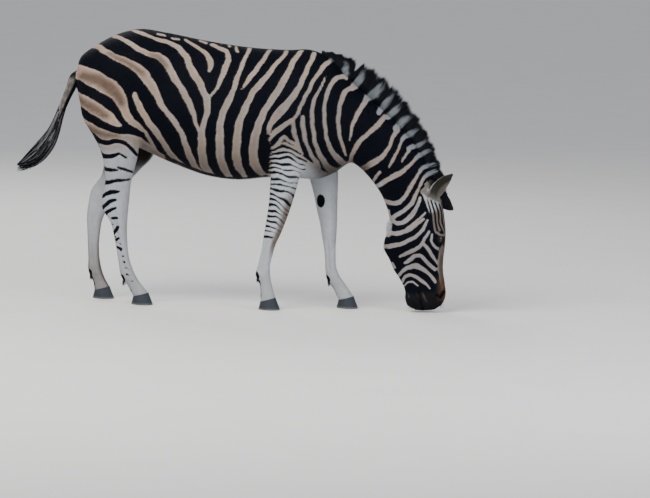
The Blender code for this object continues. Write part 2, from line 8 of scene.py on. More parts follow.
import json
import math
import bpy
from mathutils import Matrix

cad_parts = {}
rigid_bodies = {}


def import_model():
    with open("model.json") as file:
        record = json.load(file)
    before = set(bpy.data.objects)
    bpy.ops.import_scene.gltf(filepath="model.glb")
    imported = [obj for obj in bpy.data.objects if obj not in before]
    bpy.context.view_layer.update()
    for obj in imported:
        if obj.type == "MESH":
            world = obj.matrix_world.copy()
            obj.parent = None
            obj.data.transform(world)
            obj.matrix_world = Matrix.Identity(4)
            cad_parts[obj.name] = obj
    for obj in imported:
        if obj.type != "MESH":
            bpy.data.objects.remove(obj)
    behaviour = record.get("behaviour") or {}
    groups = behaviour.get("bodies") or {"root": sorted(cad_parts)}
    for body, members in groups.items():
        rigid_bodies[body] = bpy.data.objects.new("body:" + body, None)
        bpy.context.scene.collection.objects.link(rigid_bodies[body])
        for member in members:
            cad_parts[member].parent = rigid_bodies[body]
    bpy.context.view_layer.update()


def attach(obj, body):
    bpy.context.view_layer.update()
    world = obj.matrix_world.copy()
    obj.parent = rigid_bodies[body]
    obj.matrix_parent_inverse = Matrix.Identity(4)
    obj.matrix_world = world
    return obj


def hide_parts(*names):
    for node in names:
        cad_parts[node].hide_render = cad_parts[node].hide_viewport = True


bl_info = {
    "name": "Grazing zebra",
    "version": (1, 0, 0),
    "blender": (4, 5, 0),
    "location": "3D View > Sidebar > Zebra",
    "description": "Builds the skin, coat, mane, tail, eyes and hooves of a life-size zebra",
    "category": "Add Mesh",
}

from collections import namedtuple

import bpy
import numpy as np
from bpy.props import FloatProperty, FloatVectorProperty, IntProperty, PointerProperty
from mathutils import Matrix
from numpy.linalg import norm

for leftover in list(bpy.data.objects):
    bpy.data.objects.remove(leftover)
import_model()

CM = 0.01
HEAD_TURN = math.radians(18)
RIGHT, LEFT = -1, 1

# --- the animal


def table(kind, *rows):
    """The rows as named tuples of one kind."""
    return [kind(*row) for row in rows]


# A section of the body: the point on the back or crest line, the point on the
# belly or throat line, half the width, how far down the widest level lies as
# a share, and the squareness of the upper and the lower half (2 is round).
Section = namedtuple("Section", "name top_x top_z low_x low_z half widest upper lower")
BODY = table(
    Section,
    ("rump_end", -81.2, 116, -81, 105.5, 3.5, 0.5, 2, 2),
    ("buttock", -79.8, 122.2, -78.4, 97, 9.6, 0.5, 2.2, 2.2),
    ("rump", -71, 129.4, -69, 87, 17, 0.5, 2.2, 2.2),
    ("haunch", -60.5, 135, -57.5, 81, 21.2, 0.47, 2.1, 2.2),
    ("croup", -50.8, 137.6, -47.3, 77, 22.8, 0.46, 1.95, 2.2),
    ("loin", -36, 136.2, -32, 70.6, 23, 0.5, 1.95, 2.15),
    ("barrel", -18, 133.2, -12.5, 64.6, 24, 0.55, 1.9, 2.1),
    ("belly", -3, 131.2, 2, 63.3, 24.4, 0.56, 1.85, 2.1),
    ("ribs", 12, 130, 17, 65, 23, 0.56, 1.8, 2.1),
    ("girth", 26, 129.8, 31, 65.2, 20.2, 0.56, 1.7, 2.1),
    ("withers", 37.5, 130, 44, 65.8, 17.8, 0.56, 1.6, 2.1),
    ("shoulder", 45.5, 127, 51, 69, 16.2, 0.57, 1.6, 2.1),
    ("breast", 52.5, 120.8, 55.8, 72.6, 14.4, 0.56, 1.65, 2.1),
    ("neck_root", 59.5, 114.3, 58.6, 73.9, 12.4, 0.55, 1.7, 2),
    ("neck_low", 70, 105.3, 63.5, 71, 10.8, 0.53, 1.75, 2),
    ("neck_middle", 81.2, 95.1, 69, 65.3, 9.4, 0.52, 1.75, 2),
    ("neck_high", 92.6, 81.5, 75, 56.2, 8.5, 0.5, 1.8, 2),
    ("throat", 100.6, 67.6, 78.3, 45.4, 8.2, 0.45, 1.9, 2),
    ("poll", 103.6, 60, 77.8, 40.2, 8.4, 0.4, 2.1, 2),
    ("jaw_angle", 105.7, 51.5, 76, 36, 9, 0.36, 2.3, 2),
    ("brow", 107, 41.5, 75.9, 31.2, 9.6, 0.32, 2.5, 1.9),
    ("cheek", 107, 33.5, 78.8, 26, 8.4, 0.34, 2.4, 1.8),
    ("face", 106.5, 27, 81.2, 20.8, 6.8, 0.4, 2.2, 1.8),
    ("nose", 106.6, 20.5, 84.8, 15.6, 5.6, 0.44, 2.1, 1.9),
    ("nostril", 107.8, 14, 87.2, 10.4, 5.6, 0.42, 2.2, 2.1),
    ("lips", 108.2, 8.5, 87.6, 6, 5.4, 0.45, 2.3, 2.2),
    ("mouth", 106.6, 4.2, 88.8, 3, 4.7, 0.48, 2.3, 2.2),
    ("mouth_end", 103.4, 1.6, 92.2, 1.1, 3.2, 0.5, 2.2, 2.2),
)
BODY_NAMES = [s.name for s in BODY]

# Swellings and hollows of the flesh: centre, reach along each axis, and how
# far the surface stands out. The centre's Y is its distance from the midline.
Form = namedtuple("Form", "name x y z reach_x reach_y reach_z push")
FORMS = table(
    Form,
    ("hip_point", -48, 19, 122, 7, 9, 7, 1.2),
    ("flank_hollow", -34, 24, 112, 9, 9, 13, -1.6),
    ("shoulder_blade", 36, 16, 112, 9, 9, 15, 1.3),
    ("shoulder_point", 47, 16, 87, 7, 8, 8, 1.6),
    ("breast_muscle", 54, 7, 80, 6, 6, 7, 1),
    ("behind_elbow", 15, 22, 78, 6, 9, 10, -1.6),
    ("neck_groove", 67, 9, 84, 6, 5, 5, -0.8),
    ("brow_ridge", 104.4, 8.5, 40.2, 2.6, 3, 2.2, 1),
    ("temple", 103.2, 7, 46, 2.6, 3, 2.4, -0.7),
    ("cheek_muscle", 86.5, 6.5, 37.5, 6.5, 5, 7.5, 1.3),
    ("face_crest", 97, 7.5, 29, 2.2, 4, 5, 0.7),
    ("under_crest", 92, 7, 24, 3.2, 4, 5, -0.7),
    ("nostril_rim", 104.3, 5.4, 8.6, 2.6, 2.6, 3, 1),
    ("chin", 90.5, 2.6, 7, 3, 3.6, 2.8, 0.6),
)
# Smaller forms that only the skin has.
FINE_FORMS = table(
    Form,
    ("eye_mound", 102.6, 8.8, 37.6, 2.7, 3, 3.2, 0.6),
    ("eye_bag", 99.8, 9, 36.6, 1.4, 2.4, 2.6, 0.25),
    ("nostril_wing", 102.6, 5.6, 10.6, 1.5, 2.2, 1.7, 0.6),
    ("nostril_tip", 106.9, 4.4, 7, 1.3, 2, 1.5, 0.45),
    ("nose_dip", 108.6, 0, 12, 2, 1.6, 4, -0.25),
    ("cheek_edge", 80.5, 7, 32, 2.2, 4, 6, 0.4),
    ("lip_corner", 92.6, 4.9, 11.4, 1.6, 2, 1.6, 0.25),
    ("upper_lip", 101, 3.5, 3, 4, 3, 2, 0.2),
    ("nose_side", 102, 5.6, 17, 2.4, 2.6, 6, -0.3),
    ("throat_latch", 84, 8, 50, 3, 4, 4, -0.7),
    ("neck_wing", 96, 7.6, 66, 3.2, 4, 6, 0.5),
    ("crest_hollow", 78, 9, 88, 5, 4, 8, -0.3),
    ("blade_edge", 45, 13, 108, 2.2, 6, 12, -0.5),
    ("blade_front", 28, 19, 104, 2.6, 6, 12, -0.4),
    ("arm_muscle", 31, 18, 94, 6, 6, 6, 0.6),
    ("flank_fold", -38, 20, 86, 4, 8, 8, 0.6),
    ("loin_hollow", -26, 18, 126, 9, 6, 4, -0.4),
    ("thigh_groove", -68, 16, 108, 2.2, 6, 14, -0.6),
)

# Narrow furrows: two ends on the right half with Y from the midline, half the
# width and the depth.
Furrow = namedtuple("Furrow", "name start end half depth")
FURROWS = table(
    Furrow,
    ("nostril_top", (106.8, 3, 12.2), (106.4, 4.6, 10.2), 0.6, 1.3),
    ("nostril", (106.4, 4.6, 10.2), (104.6, 5.8, 8), 1, 2.7),
    ("nostril_back", (104.6, 5.8, 8), (102.6, 5.9, 8.8), 0.65, 1.3),
    ("mouth_front", (96.8, 0, 0.6), (96.4, 3, 1.2), 0.45, 0.9),
    ("mouth_side", (96.4, 3, 1.2), (94.6, 4.7, 5), 0.45, 1),
    ("mouth_corner", (94.6, 4.7, 5), (93, 5, 10.2), 0.4, 0.8),
    ("jowl", (80, 8, 44), (90, 8.5, 50), 1.2, 0.5),
    ("vein", (96, 7.4, 22), (90, 6.8, 27), 0.5, -0.25),
    ("lip_crease", (99, 5.3, 4), (97, 5.6, 9), 0.4, 0.2),
    ("chin_crease", (91.2, 3.4, 4), (90.6, 4.6, 10), 0.4, 0.25),
)

# A section of a leg: the point on its back line, the point on its front line,
# how far its middle lies from the midline, and half its width.
Ring = namedtuple("Ring", "name back_x back_z front_x front_z off half")


def leg_rings(widths, lines):
    """A leg's rings, from each one's name, off and half, and the numbers of its two lines."""
    return [Ring(name, *line, off, half) for (name, off, half), line in zip(widths, lines)]


FORE_WIDTHS = [
    ("shoulder", 9.4, 6.6), ("upper_arm", 10.9, 7.3), ("elbow", 12, 7), ("forearm_top", 12.4, 6.3),
    ("forearm", 12.2, 5.3), ("forearm_low", 11.9, 4.4), ("above_knee", 11.7, 3.9), ("knee", 11.5, 4),
    ("below_knee", 11.4, 3.3), ("cannon", 11.3, 2.7), ("cannon_low", 11.2, 2.8), ("fetlock", 11.1, 3.4),
    ("pastern", 11.1, 2.9),
]
FORELEG_RIGHT = leg_rings(FORE_WIDTHS, [
    (23.5, 95, 43, 97), (18.5, 86, 40, 87.5), (18.2, 78, 37.4, 79.5), (19.4, 70.2, 35.6, 71),
    (19.6, 60.2, 33.2, 61), (18.8, 50, 30.3, 50.6), (17.7, 42.2, 27.6, 42.8), (16.9, 37, 25.6, 37.6),
    (16.4, 32.6, 23.5, 33), (15.4, 26.8, 21.9, 27.2), (14.2, 21.6, 20.8, 22), (13.3, 17.6, 20.8, 18.4),
    (15.5, 12.4, 21.6, 13.8),
])
FORELEG_LEFT = leg_rings(FORE_WIDTHS, [
    (24.5, 95, 44.5, 98), (26.5, 86, 46.8, 88.5), (30.2, 77.2, 48.8, 80.5), (34, 69, 50.2, 72.6),
    (37.6, 59, 50.6, 62), (40, 49, 50.7, 51.4), (42, 41.2, 50.8, 43.2), (43, 35.8, 50.7, 37.6),
    (44, 31, 50.5, 32.4), (44.8, 25, 50.6, 26.2), (45.2, 19.2, 51, 20.8), (45.9, 14.9, 52.4, 17),
    (49.6, 9.4, 56.2, 11.6),
])
HIND_WIDTHS = [
    ("hip", 9.2, 7.6), ("thigh", 10.4, 10), ("thigh_low", 11.5, 10), ("stifle", 12.3, 8.9),
    ("gaskin_top", 12.6, 7.6), ("gaskin", 12.5, 6.1), ("gaskin_low", 12.3, 4.6), ("hock_point", 12.1, 3.9),
    ("hock", 11.9, 4), ("below_hock", 11.7, 3.4), ("cannon", 11.5, 2.8), ("cannon_low", 11.3, 2.9),
    ("fetlock", 11.2, 3.5), ("pastern", 11.2, 3.1),
]
HIND_LEG_RIGHT = leg_rings(HIND_WIDTHS, [
    (-76, 111, -54, 112), (-77.8, 101.5, -49, 102.7), (-75.2, 91.5, -46.8, 92.6), (-70, 83.6, -46, 85.1),
    (-66.2, 76.4, -46.6, 77.4), (-64.2, 68, -48.6, 68.6), (-63.8, 60, -50.4, 60.6), (-65.2, 53.4, -51, 53.6),
    (-64.8, 47.4, -51.5, 47.4), (-60.8, 41, -51.9, 41.2), (-58.6, 33, -51.8, 33.2), (-56.2, 20.8, -50, 21.2),
    (-54.6, 13.4, -47.2, 14.6), (-51.2, 9, -44.8, 10.8),
])
HIND_LEG_LEFT = leg_rings(HIND_WIDTHS, [
    (-76, 111, -54, 112), (-77.6, 101.5, -47.5, 101.5), (-75.6, 92, -43.6, 90.5), (-72, 84.4, -41.6, 80.4),
    (-69.8, 77.2, -44, 72.4), (-69, 69.2, -50.2, 65.6), (-70.5, 61.6, -56.7, 58.4), (-75, 54.8, -62.3, 52.4),
    (-76.5, 48, -65.1, 46.8), (-77, 41.2, -68.4, 40.8), (-76.6, 33, -69.8, 33), (-75.8, 20.6, -69.8, 20.8),
    (-75.4, 13.2, -68.2, 13.6), (-73.1, 8.6, -66.6, 9.8),
])

# A leg: its side, its rings, the x of its heel on the floor, and the height of
# the top of its tendons.
Leg = namedtuple("Leg", "side rings heel_x tendon_top")
LEGS = {
    "fore_right": Leg(RIGHT, FORELEG_RIGHT, 15.2, 33),
    "fore_left": Leg(LEFT, FORELEG_LEFT, 51.5, 33),
    "hind_right": Leg(RIGHT, HIND_LEG_RIGHT, -49.2, 41),
    "hind_left": Leg(LEFT, HIND_LEG_LEFT, -73.0, 41),
}

# The hoof: the coronet's back and front, ahead of the heel and up, and its half width.
HOOF_LENGTH = 11.0
HOOF_HALF = 4.9
CORONET_BACK = (0.9, 3.9)
CORONET_FRONT = (8.6, 6.1)
CORONET_HALF = 3.8

EYE_CENTRE = (102.6, 7.7, 37.6)
EYE_RADIUS = 2.15
EYE_SUNK = 0.35
EYE_BARE = 2.45

Ear = namedtuple("Ear", "side root direction opening")
EAR_LENGTH = 19.0
EAR_HALF_WIDTH = 4.5
EAR_WALL = 0.6
EAR_INSET = 0.12
EARS = {
    "ear_right": Ear(RIGHT, (97.0, 5.4, 56.4), (0.52, 0.43, 0.735), (0.35, 0.85, -0.40)),
    "ear_left": Ear(LEFT, (99.0, 5.0, 59.2), (0.76, 0.46, -0.46), (0.10, 0.80, -0.60)),
}

MANE = table(
    Section,
    ("mane_start", 42, 130.3, 43, 123.5, 1.2, 0.6, 2, 2),
    ("mane_withers", 49.5, 129, 46.5, 122, 1.4, 0.7, 1.8, 2),
    ("mane_low", 58.5, 126.4, 51, 116.5, 1.6, 0.75, 1.7, 2),
    ("mane_rise", 69, 121.6, 60, 108.5, 1.8, 0.75, 1.6, 2),
    ("mane_middle", 79.7, 113.1, 69.5, 100.5, 1.9, 0.75, 1.6, 2),
    ("mane_crest", 89.4, 101.6, 79.5, 91, 1.9, 0.75, 1.6, 2),
    ("mane_high", 97.8, 88.6, 88, 81, 1.9, 0.75, 1.6, 2),
    ("mane_upper", 103.6, 75, 94.5, 71, 1.8, 0.75, 1.6, 2),
    ("mane_poll", 106.6, 65, 97.8, 63.5, 1.8, 0.75, 1.6, 2),
    ("forelock", 108, 57, 100.5, 58, 1.5, 0.7, 1.8, 2),
    ("forelock_end", 107.4, 53.6, 103, 54.6, 0.9, 0.6, 2, 2),
)

# The tail's middle line and half its thickness, from the root to the tip.
TAIL = np.array([
    (-76, 113.5, 3.4), (-81.8, 112, 2.9), (-84.6, 106, 2.2), (-87.6, 99, 1.9), (-90.2, 91.5, 2.1),
    (-92.4, 85, 2.8), (-96, 78.2, 3.9), (-101.2, 72.2, 4), (-107, 68.6, 2.3), (-111.2, 66.8, 0.5),
])

# --- the markings

# Pale bands, each a line of points along, up and width on the board.
PALE_BANDS = {
    "upper_rump": [(-50.5, 134.5, 2), (-46.5, 133.2, 2), (-42, 130.5, 2.2), (-37.5, 127.5, 2.4),
        (-32.5, 125.2, 2.6), (-27.5, 123.8, 3.4), (-24.5, 121.5, 4), (-22, 117.5, 3.6), (-19.5, 113, 3.2),
        (-16.5, 108.5, 3), (-14, 104, 3), (-11.5, 99, 2.8), (-9.8, 94, 2.2), (-8.5, 89, 1.6), (-7, 86, 1.5)],
    "middle_rump": [(-66, 130.5, 3), (-61.5, 130.2, 2.4), (-58, 129, 2.6), (-54, 126.5, 3),
        (-51, 124.5, 3), (-46.5, 122.5, 3.2), (-41.5, 120, 4), (-37, 117, 4.8), (-32.5, 111.5, 4.8),
        (-29, 106, 3.6), (-26, 99.5, 2.8), (-22.5, 95, 2.6), (-19, 90.5, 2.6), (-16, 85.5, 2.6),
        (-14, 79.5, 3), (-12, 74, 3.2), (-9.5, 69, 3), (-6, 65.5, 2.6), (-3, 63.5, 2)],
    "wide_rump": [(-74, 118, 7), (-68.5, 117, 7), (-61.5, 113.8, 8.4), (-55.5, 110.5, 8.4),
        (-50, 107, 7.8), (-47, 103.5, 6.6), (-45, 98.5, 4.6), (-42.5, 93, 3.8), (-38, 89.5, 2.6),
        (-34, 85.5, 2), (-30.5, 79.5, 1.6), (-28, 75.5, 1.5)],
    "thigh": [(-75, 108, 7), (-70.5, 104, 7), (-65.5, 101.5, 7), (-60, 98, 7), (-54.5, 95, 6),
        (-50.5, 92, 4.4), (-47, 89.5, 2)],
    "flank_inset": [(-39.5, 105.5, 2), (-38, 101, 3), (-35.5, 96, 3), (-32.5, 91, 3), (-28.5, 86, 3),
        (-25.5, 81, 2.6), (-22.5, 76.5, 2.6), (-19, 72.5, 2.6), (-15.5, 69.5, 2.4), (-12, 67, 1.6)],
    "croup": [(-42, 138, 1.2), (-37, 136, 1.5), (-31.5, 133.8, 1.5), (-26.5, 132, 1.8), (-21.5, 130.5, 2),
        (-17, 127.5, 2.5), (-14, 124, 3), (-12.2, 119.5, 3), (-10, 115, 3.5), (-7.5, 111.5, 3.6),
        (-5.5, 107, 3), (-3.5, 102, 3.2), (-3.2, 97, 3), (-4.5, 92, 2.5), (-6, 87, 3), (-6, 81.5, 4),
        (-6, 75.5, 4), (-5, 70, 4), (-2, 65.5, 3), (1.5, 62, 2)],
    "fork": [(-1.5, 130, 1.5), (3, 128, 1.8), (6.5, 126, 2.2), (7, 122.5, 2.6), (5.8, 118.5, 3),
        (4, 114, 2.5), (2.5, 110, 2), (0, 106, 1.4), (-2.8, 103, 1.4)],
    "back_hook": [(-14.5, 132.5, 1.2), (-10, 129.5, 1.5), (-6, 127, 1.8), (-3.2, 124, 2.3),
        (-1.5, 120.5, 3), (-2.5, 116.5, 1.6)],
    "barrel": [(19, 132, 1.8), (18, 129, 1.8), (16, 124.5, 1.8), (14, 119.5, 2), (12, 114.5, 2.3),
        (10.5, 109.5, 2.5), (8.5, 104, 2.8), (6, 99, 3.4), (4, 94, 3.2), (3, 88.5, 3.5), (3, 82.5, 4),
        (3, 76.5, 4), (3.8, 71, 4), (6, 66.5, 3.2), (9, 62, 2)],
    "short_back": [(30, 132, 1.6), (28.5, 128.5, 1.7), (25.5, 124, 2), (23, 120, 2.2), (20, 116, 2.4),
        (17, 112, 2), (14, 107.5, 1)],
    "ribs": [(37.5, 132, 1.7), (36.5, 129, 1.7), (35.5, 125.5, 2), (32, 121.5, 2), (28.5, 117, 2.2),
        (25.5, 113, 2.5), (22.5, 109.5, 3), (19.5, 106, 3), (17, 101, 3), (15, 96.5, 3.4), (13, 92, 3.4),
        (12, 87, 3.7), (11.5, 81.5, 4), (11, 76, 4), (11.8, 70.5, 4), (14, 66, 2.5), (17, 62, 1.5)],
    "girth": [(46.5, 132, 2), (44.5, 128.5, 2), (41.5, 124.5, 2.4), (39, 120.5, 2.6), (37, 116, 3),
        (34.5, 111.5, 3), (32, 107, 3.4), (29, 102.5, 3.2), (26, 98, 3), (23.5, 93, 3.4), (21.5, 87.5, 3.8),
        (20, 81.5, 4.4), (19.5, 76, 4.4), (20.2, 70.5, 4.4), (23.5, 66, 3), (27, 63, 2)],
    "withers": [(51.5, 130, 2.4), (50.5, 127, 2.4), (49, 123.5, 2.2), (47, 119, 2.2), (45, 114.5, 2.4),
        (43, 110, 2.6), (40.5, 105.5, 3), (37.5, 101.5, 3.6), (34, 97.5, 4), (30.5, 93.5, 3.8),
        (28, 89.5, 2.6), (26.8, 85.5, 1.4)],
    "shoulder": [(58, 122, 2), (55, 119.5, 2.2), (52, 115.5, 2), (49, 111, 1.8), (47, 106.5, 1.8),
        (44.5, 102, 2), (42.5, 97.5, 1.7), (40, 93, 1.5), (36.5, 90.5, 2.2), (32.5, 87.8, 2.5),
        (29, 84.5, 2.2), (27.5, 82, 1.2)],
    "shoulder_branch": [(39.5, 92.5, 1.4), (39.5, 89, 2), (39.8, 86, 2.4), (41, 82.5, 2), (42, 79, 1.5),
        (44, 75, 1.5)],
    "elbow_arch": [(28.5, 79, 1.2), (31, 79.8, 1.5), (33, 82, 1.5), (35.2, 84, 1.8), (37, 82, 1.4),
        (40, 80.2, 1.2), (42, 77.5, 1.2)],
    "arm_front": [(55.5, 113.5, 1), (53.5, 109.5, 1.3), (51.5, 105.5, 1.6), (49.5, 101.5, 1.8),
        (48.8, 97, 2), (48.8, 91.5, 2), (49.5, 86, 2), (50.2, 81, 2), (51.8, 76.5, 2.2), (54, 72.5, 2.6),
        (57, 68.5, 3.4), (61.5, 66.5, 3)],
    "arm": [(44, 94, 1.7), (44.2, 89.5, 2.4), (44.8, 85, 2.2), (46, 80.5, 1.8), (47.5, 76.5, 1.7),
        (50, 72.5, 2.2), (52, 68.5, 2.4)],
    "breast_back": [(64, 114, 2.2), (61, 113.2, 2.2), (58.5, 110.5, 2.2), (56.5, 106, 2),
        (55.2, 101.5, 1.8), (54.8, 96.5, 1.9), (55, 91, 2), (55.5, 86, 1.8), (56.5, 81, 2), (58.5, 77, 2.4),
        (61, 73.5, 3), (64, 71, 2.8), (67, 70, 1.5)],
    "breast": [(68.5, 108.5, 2.2), (65.8, 107, 2.4), (63.8, 103.5, 2.4), (62.5, 99, 2.1), (61.8, 94, 2),
        (61.8, 89, 1.9), (62.5, 84, 1.7), (63.8, 79.5, 1.5), (65.5, 75, 1.2)],
    "neck_root": [(76.5, 105, 2.4), (74.8, 101, 2.5), (72.5, 97, 2.3), (70.5, 93.5, 2.1), (69, 90, 1.8),
        (68, 86, 1.3), (67.5, 82, 0.7)],
    "neck_low": [(85, 94, 2.4), (82, 90.5, 2.5), (79, 87.5, 2.4), (75.5, 84.5, 2.2), (72.5, 81.5, 2.3),
        (70, 78, 2.3), (68.5, 74.5, 2), (67.5, 70, 1.5)],
    "neck_middle": [(91.5, 87.5, 2.2), (89.2, 84.5, 1.9), (88, 81, 1.7), (86.5, 78, 1.8), (84.5, 75, 2.2),
        (81.5, 72.5, 2.8), (78, 70.2, 3), (74.5, 68.5, 2.7), (70, 66, 2.4)],
    "neck_short": [(94, 83, 1.5), (92.5, 80, 1.2), (91.5, 77.5, 1.3), (89.8, 74, 1.4), (88, 71, 1.4),
        (87, 68.5, 0.8)],
    "neck_stub": [(97.5, 77.5, 1.3), (95.5, 74.8, 1.3), (93.2, 71.5, 1)],
    "neck_high": [(101.5, 74, 1.6), (98.8, 71.5, 1.7), (96, 68.5, 2), (93, 66.2, 2.3), (90, 64.5, 2.6),
        (86.5, 62.8, 2.4), (83, 60.5, 2), (79.5, 58.8, 2), (75, 56.5, 1.5)],
    "throat_stub": [(82.5, 66.5, 1.2), (80.5, 64, 1.7), (78.8, 61.5, 1.2)],
    "throat": [(103, 67.5, 1.6), (101.5, 65.5, 1.5), (100, 62.5, 1.6), (98, 59.5, 1.7), (96.2, 56.5, 1.8),
        (94.5, 53.5, 2), (92, 51.5, 2.3), (89, 50.8, 2.3), (86, 51.5, 2), (80, 54.5, 1.6)],
    "poll": [(105, 64.2, 1.8), (103, 61, 1.5), (101.5, 57.5, 1.6), (99.8, 54, 1.8), (98, 50.5, 2),
        (95.2, 48, 2), (92, 45.8, 2), (88, 43, 1.8)],
    "jowl": [(102.5, 53.5, 1.3), (101.2, 50, 1.7), (99.5, 46.5, 2), (96.8, 43.5, 2.1), (93.5, 41.2, 2.2),
        (90.5, 41.2, 2), (87.5, 43.5, 1.6)],
    "cheek_thread": [(105, 46, 1), (101.5, 43, 1.2), (98, 40, 1.2), (95.5, 38, 1)],
    "cheek_back": [(86, 36, 2.4), (88, 36, 2.2), (91.5, 36, 2.2), (95, 36.8, 1.9), (98, 38.5, 1.9),
        (101, 40.5, 1.7), (104, 42.8, 1.4)],
    "cheek": [(84, 29.5, 1.8), (88, 29.5, 2.3), (91.5, 30.2, 2.1), (95, 31.5, 2), (98, 33, 2),
        (100.8, 34.8, 1.8), (103.2, 37.2, 1.6), (105, 40, 1.4), (106, 42.5, 1)],
    "cheek_front": [(92.5, 24.5, 1.4), (95.5, 25.8, 1.9), (98.5, 27.2, 1.9), (101.5, 29, 1.8),
        (103.8, 31.5, 1.6), (105.2, 34, 1.4), (106.8, 37, 1.2)],
    "face_back": [(103.8, 31, 1.4), (105.5, 29, 1.6), (107.5, 26.5, 1.6), (109.5, 23.5, 1.4), (111, 21, 1)],
    "face": [(95, 21, 1.2), (97.5, 22.8, 1.8), (100, 24.8, 1.9), (102.5, 24.8, 1.9), (105, 22.5, 1.8),
        (107.5, 20, 1.6), (110, 17.8, 1.4)],
    "nose_back": [(90, 13.5, 1.2), (91.5, 14.5, 1.4), (93.5, 16.8, 1.7), (96.5, 18.8, 2.2),
        (100, 19.8, 2.6), (103, 18.5, 2.3), (106, 16.5, 2), (108.5, 14, 1.8), (110, 11.8, 1.4)],
    "nose": [(93.5, 11.8, 1.2), (95, 14.2, 1.4), (97.5, 15, 1.6), (100.5, 14.2, 1.6), (103, 12.5, 1.5),
        (105.5, 10.5, 1.3), (107.5, 8.5, 0.8)],
    "nose_thread": [(94.5, 9.5, 0.8), (96, 11.2, 0.9), (99, 11.5, 0.9), (101.5, 10, 0.8)],
    "jaw_spot": [(88.5, 20.5, 2.2), (89.5, 19, 1.6)],
    "jaw_edge": [(86.5, 47, 2), (86.5, 43, 3.6), (86.5, 39, 4), (86.5, 35.5, 3)],
    "ear_root": [(104, 57, 2), (106, 54.5, 4), (107.5, 51, 4.5), (108.2, 47.5, 2.6)],
    "under_eye": [(108.2, 35.5, 1), (108.2, 32, 1.2), (109.8, 29.5, 1.4), (111.8, 28, 1.2)],
    "eyelid_highlight": [(111, 36.2, 1.2), (113, 34.8, 1.3), (115, 35.5, 1.2)],
    "brow_thread": [(110.5, 50, 0.8), (108.5, 46.5, 0.9)],
    "back_dash_1": [(-28.5, 135.5, 1), (-24.5, 134.4, 1)],
    "back_dash_2": [(-21.5, 133.4, 1), (-17.5, 132.6, 1)],
    "back_dash_3": [(-7.5, 132, 1), (-4, 131, 1.2)],
    "back_dash_4": [(2, 132, 1.2), (3.5, 131, 1.4)],
    "back_dash_5": [(6.5, 131, 1.2), (7.5, 129, 1.4)],
    "back_dash_6": [(10.5, 130, 1.2), (11.5, 126.5, 1.6)],
}

# Pale patches that run from the neck's crest out into the mane.
MANE_BANDS = {
    "mane_1": [(65.5, 113, 2), (65.5, 118, 2.6), (65, 122.5, 1.6)],
    "mane_2": [(68.5, 108, 2.8), (71, 110.5, 4), (73.5, 114.5, 3.6), (75.5, 118.5, 1.6)],
    "mane_3": [(77, 103.5, 3.4), (80.5, 106.5, 4.4), (83.5, 109.5, 4), (87, 114, 2)],
    "mane_4": [(81.5, 95.5, 2), (83.5, 98.5, 3), (86, 102, 3), (89.5, 106, 2)],
    "mane_5": [(86.5, 93.5, 2.4), (89.5, 96.5, 3.4), (92.5, 99.5, 2.8), (95.5, 102.5, 1.4)],
    "mane_6": [(90, 88, 2.4), (93, 91, 3.4), (96.5, 93.5, 3), (100.5, 96.5, 1.4)],
    "mane_7": [(93.5, 83, 2), (96.5, 85, 2.7), (99.5, 86.5, 2.2), (103, 88.8, 1.2)],
    "mane_8": [(96.5, 78, 2), (100, 79.5, 2.4), (103.5, 80.8, 2), (107.5, 82.3, 1)],
    "mane_9": [(100.5, 73.5, 2), (103.5, 75.5, 2.4), (107.5, 77, 2), (110, 77.5, 1)],
    "mane_10": [(102.5, 67.5, 1.6), (106, 69.5, 2), (110.5, 70.8, 1.4)],
    "mane_11": [(105, 64, 1.8), (107.5, 66, 2.2), (111.5, 67.3, 1.4)],
}

# Regions whose ground is pale, as corners on the board.
PALE_GROUNDS = {
    "hind_leg": [(-76, 97), (-66, 94), (-56, 88.5), (-46, 85.5), (-38, 85), (-31, 79), (-30, -4),
        (-90, -4), (-90, 97)],
    "foreleg": [(28, 80.5), (31, 79.5), (35, 81.5), (41, 78.5), (45, 73.5), (51, 69.5), (57, 64.5),
        (66, 64), (66, -4), (10, -4), (10, 60), (24.5, 63), (27, 67.5), (27.5, 73)],
}
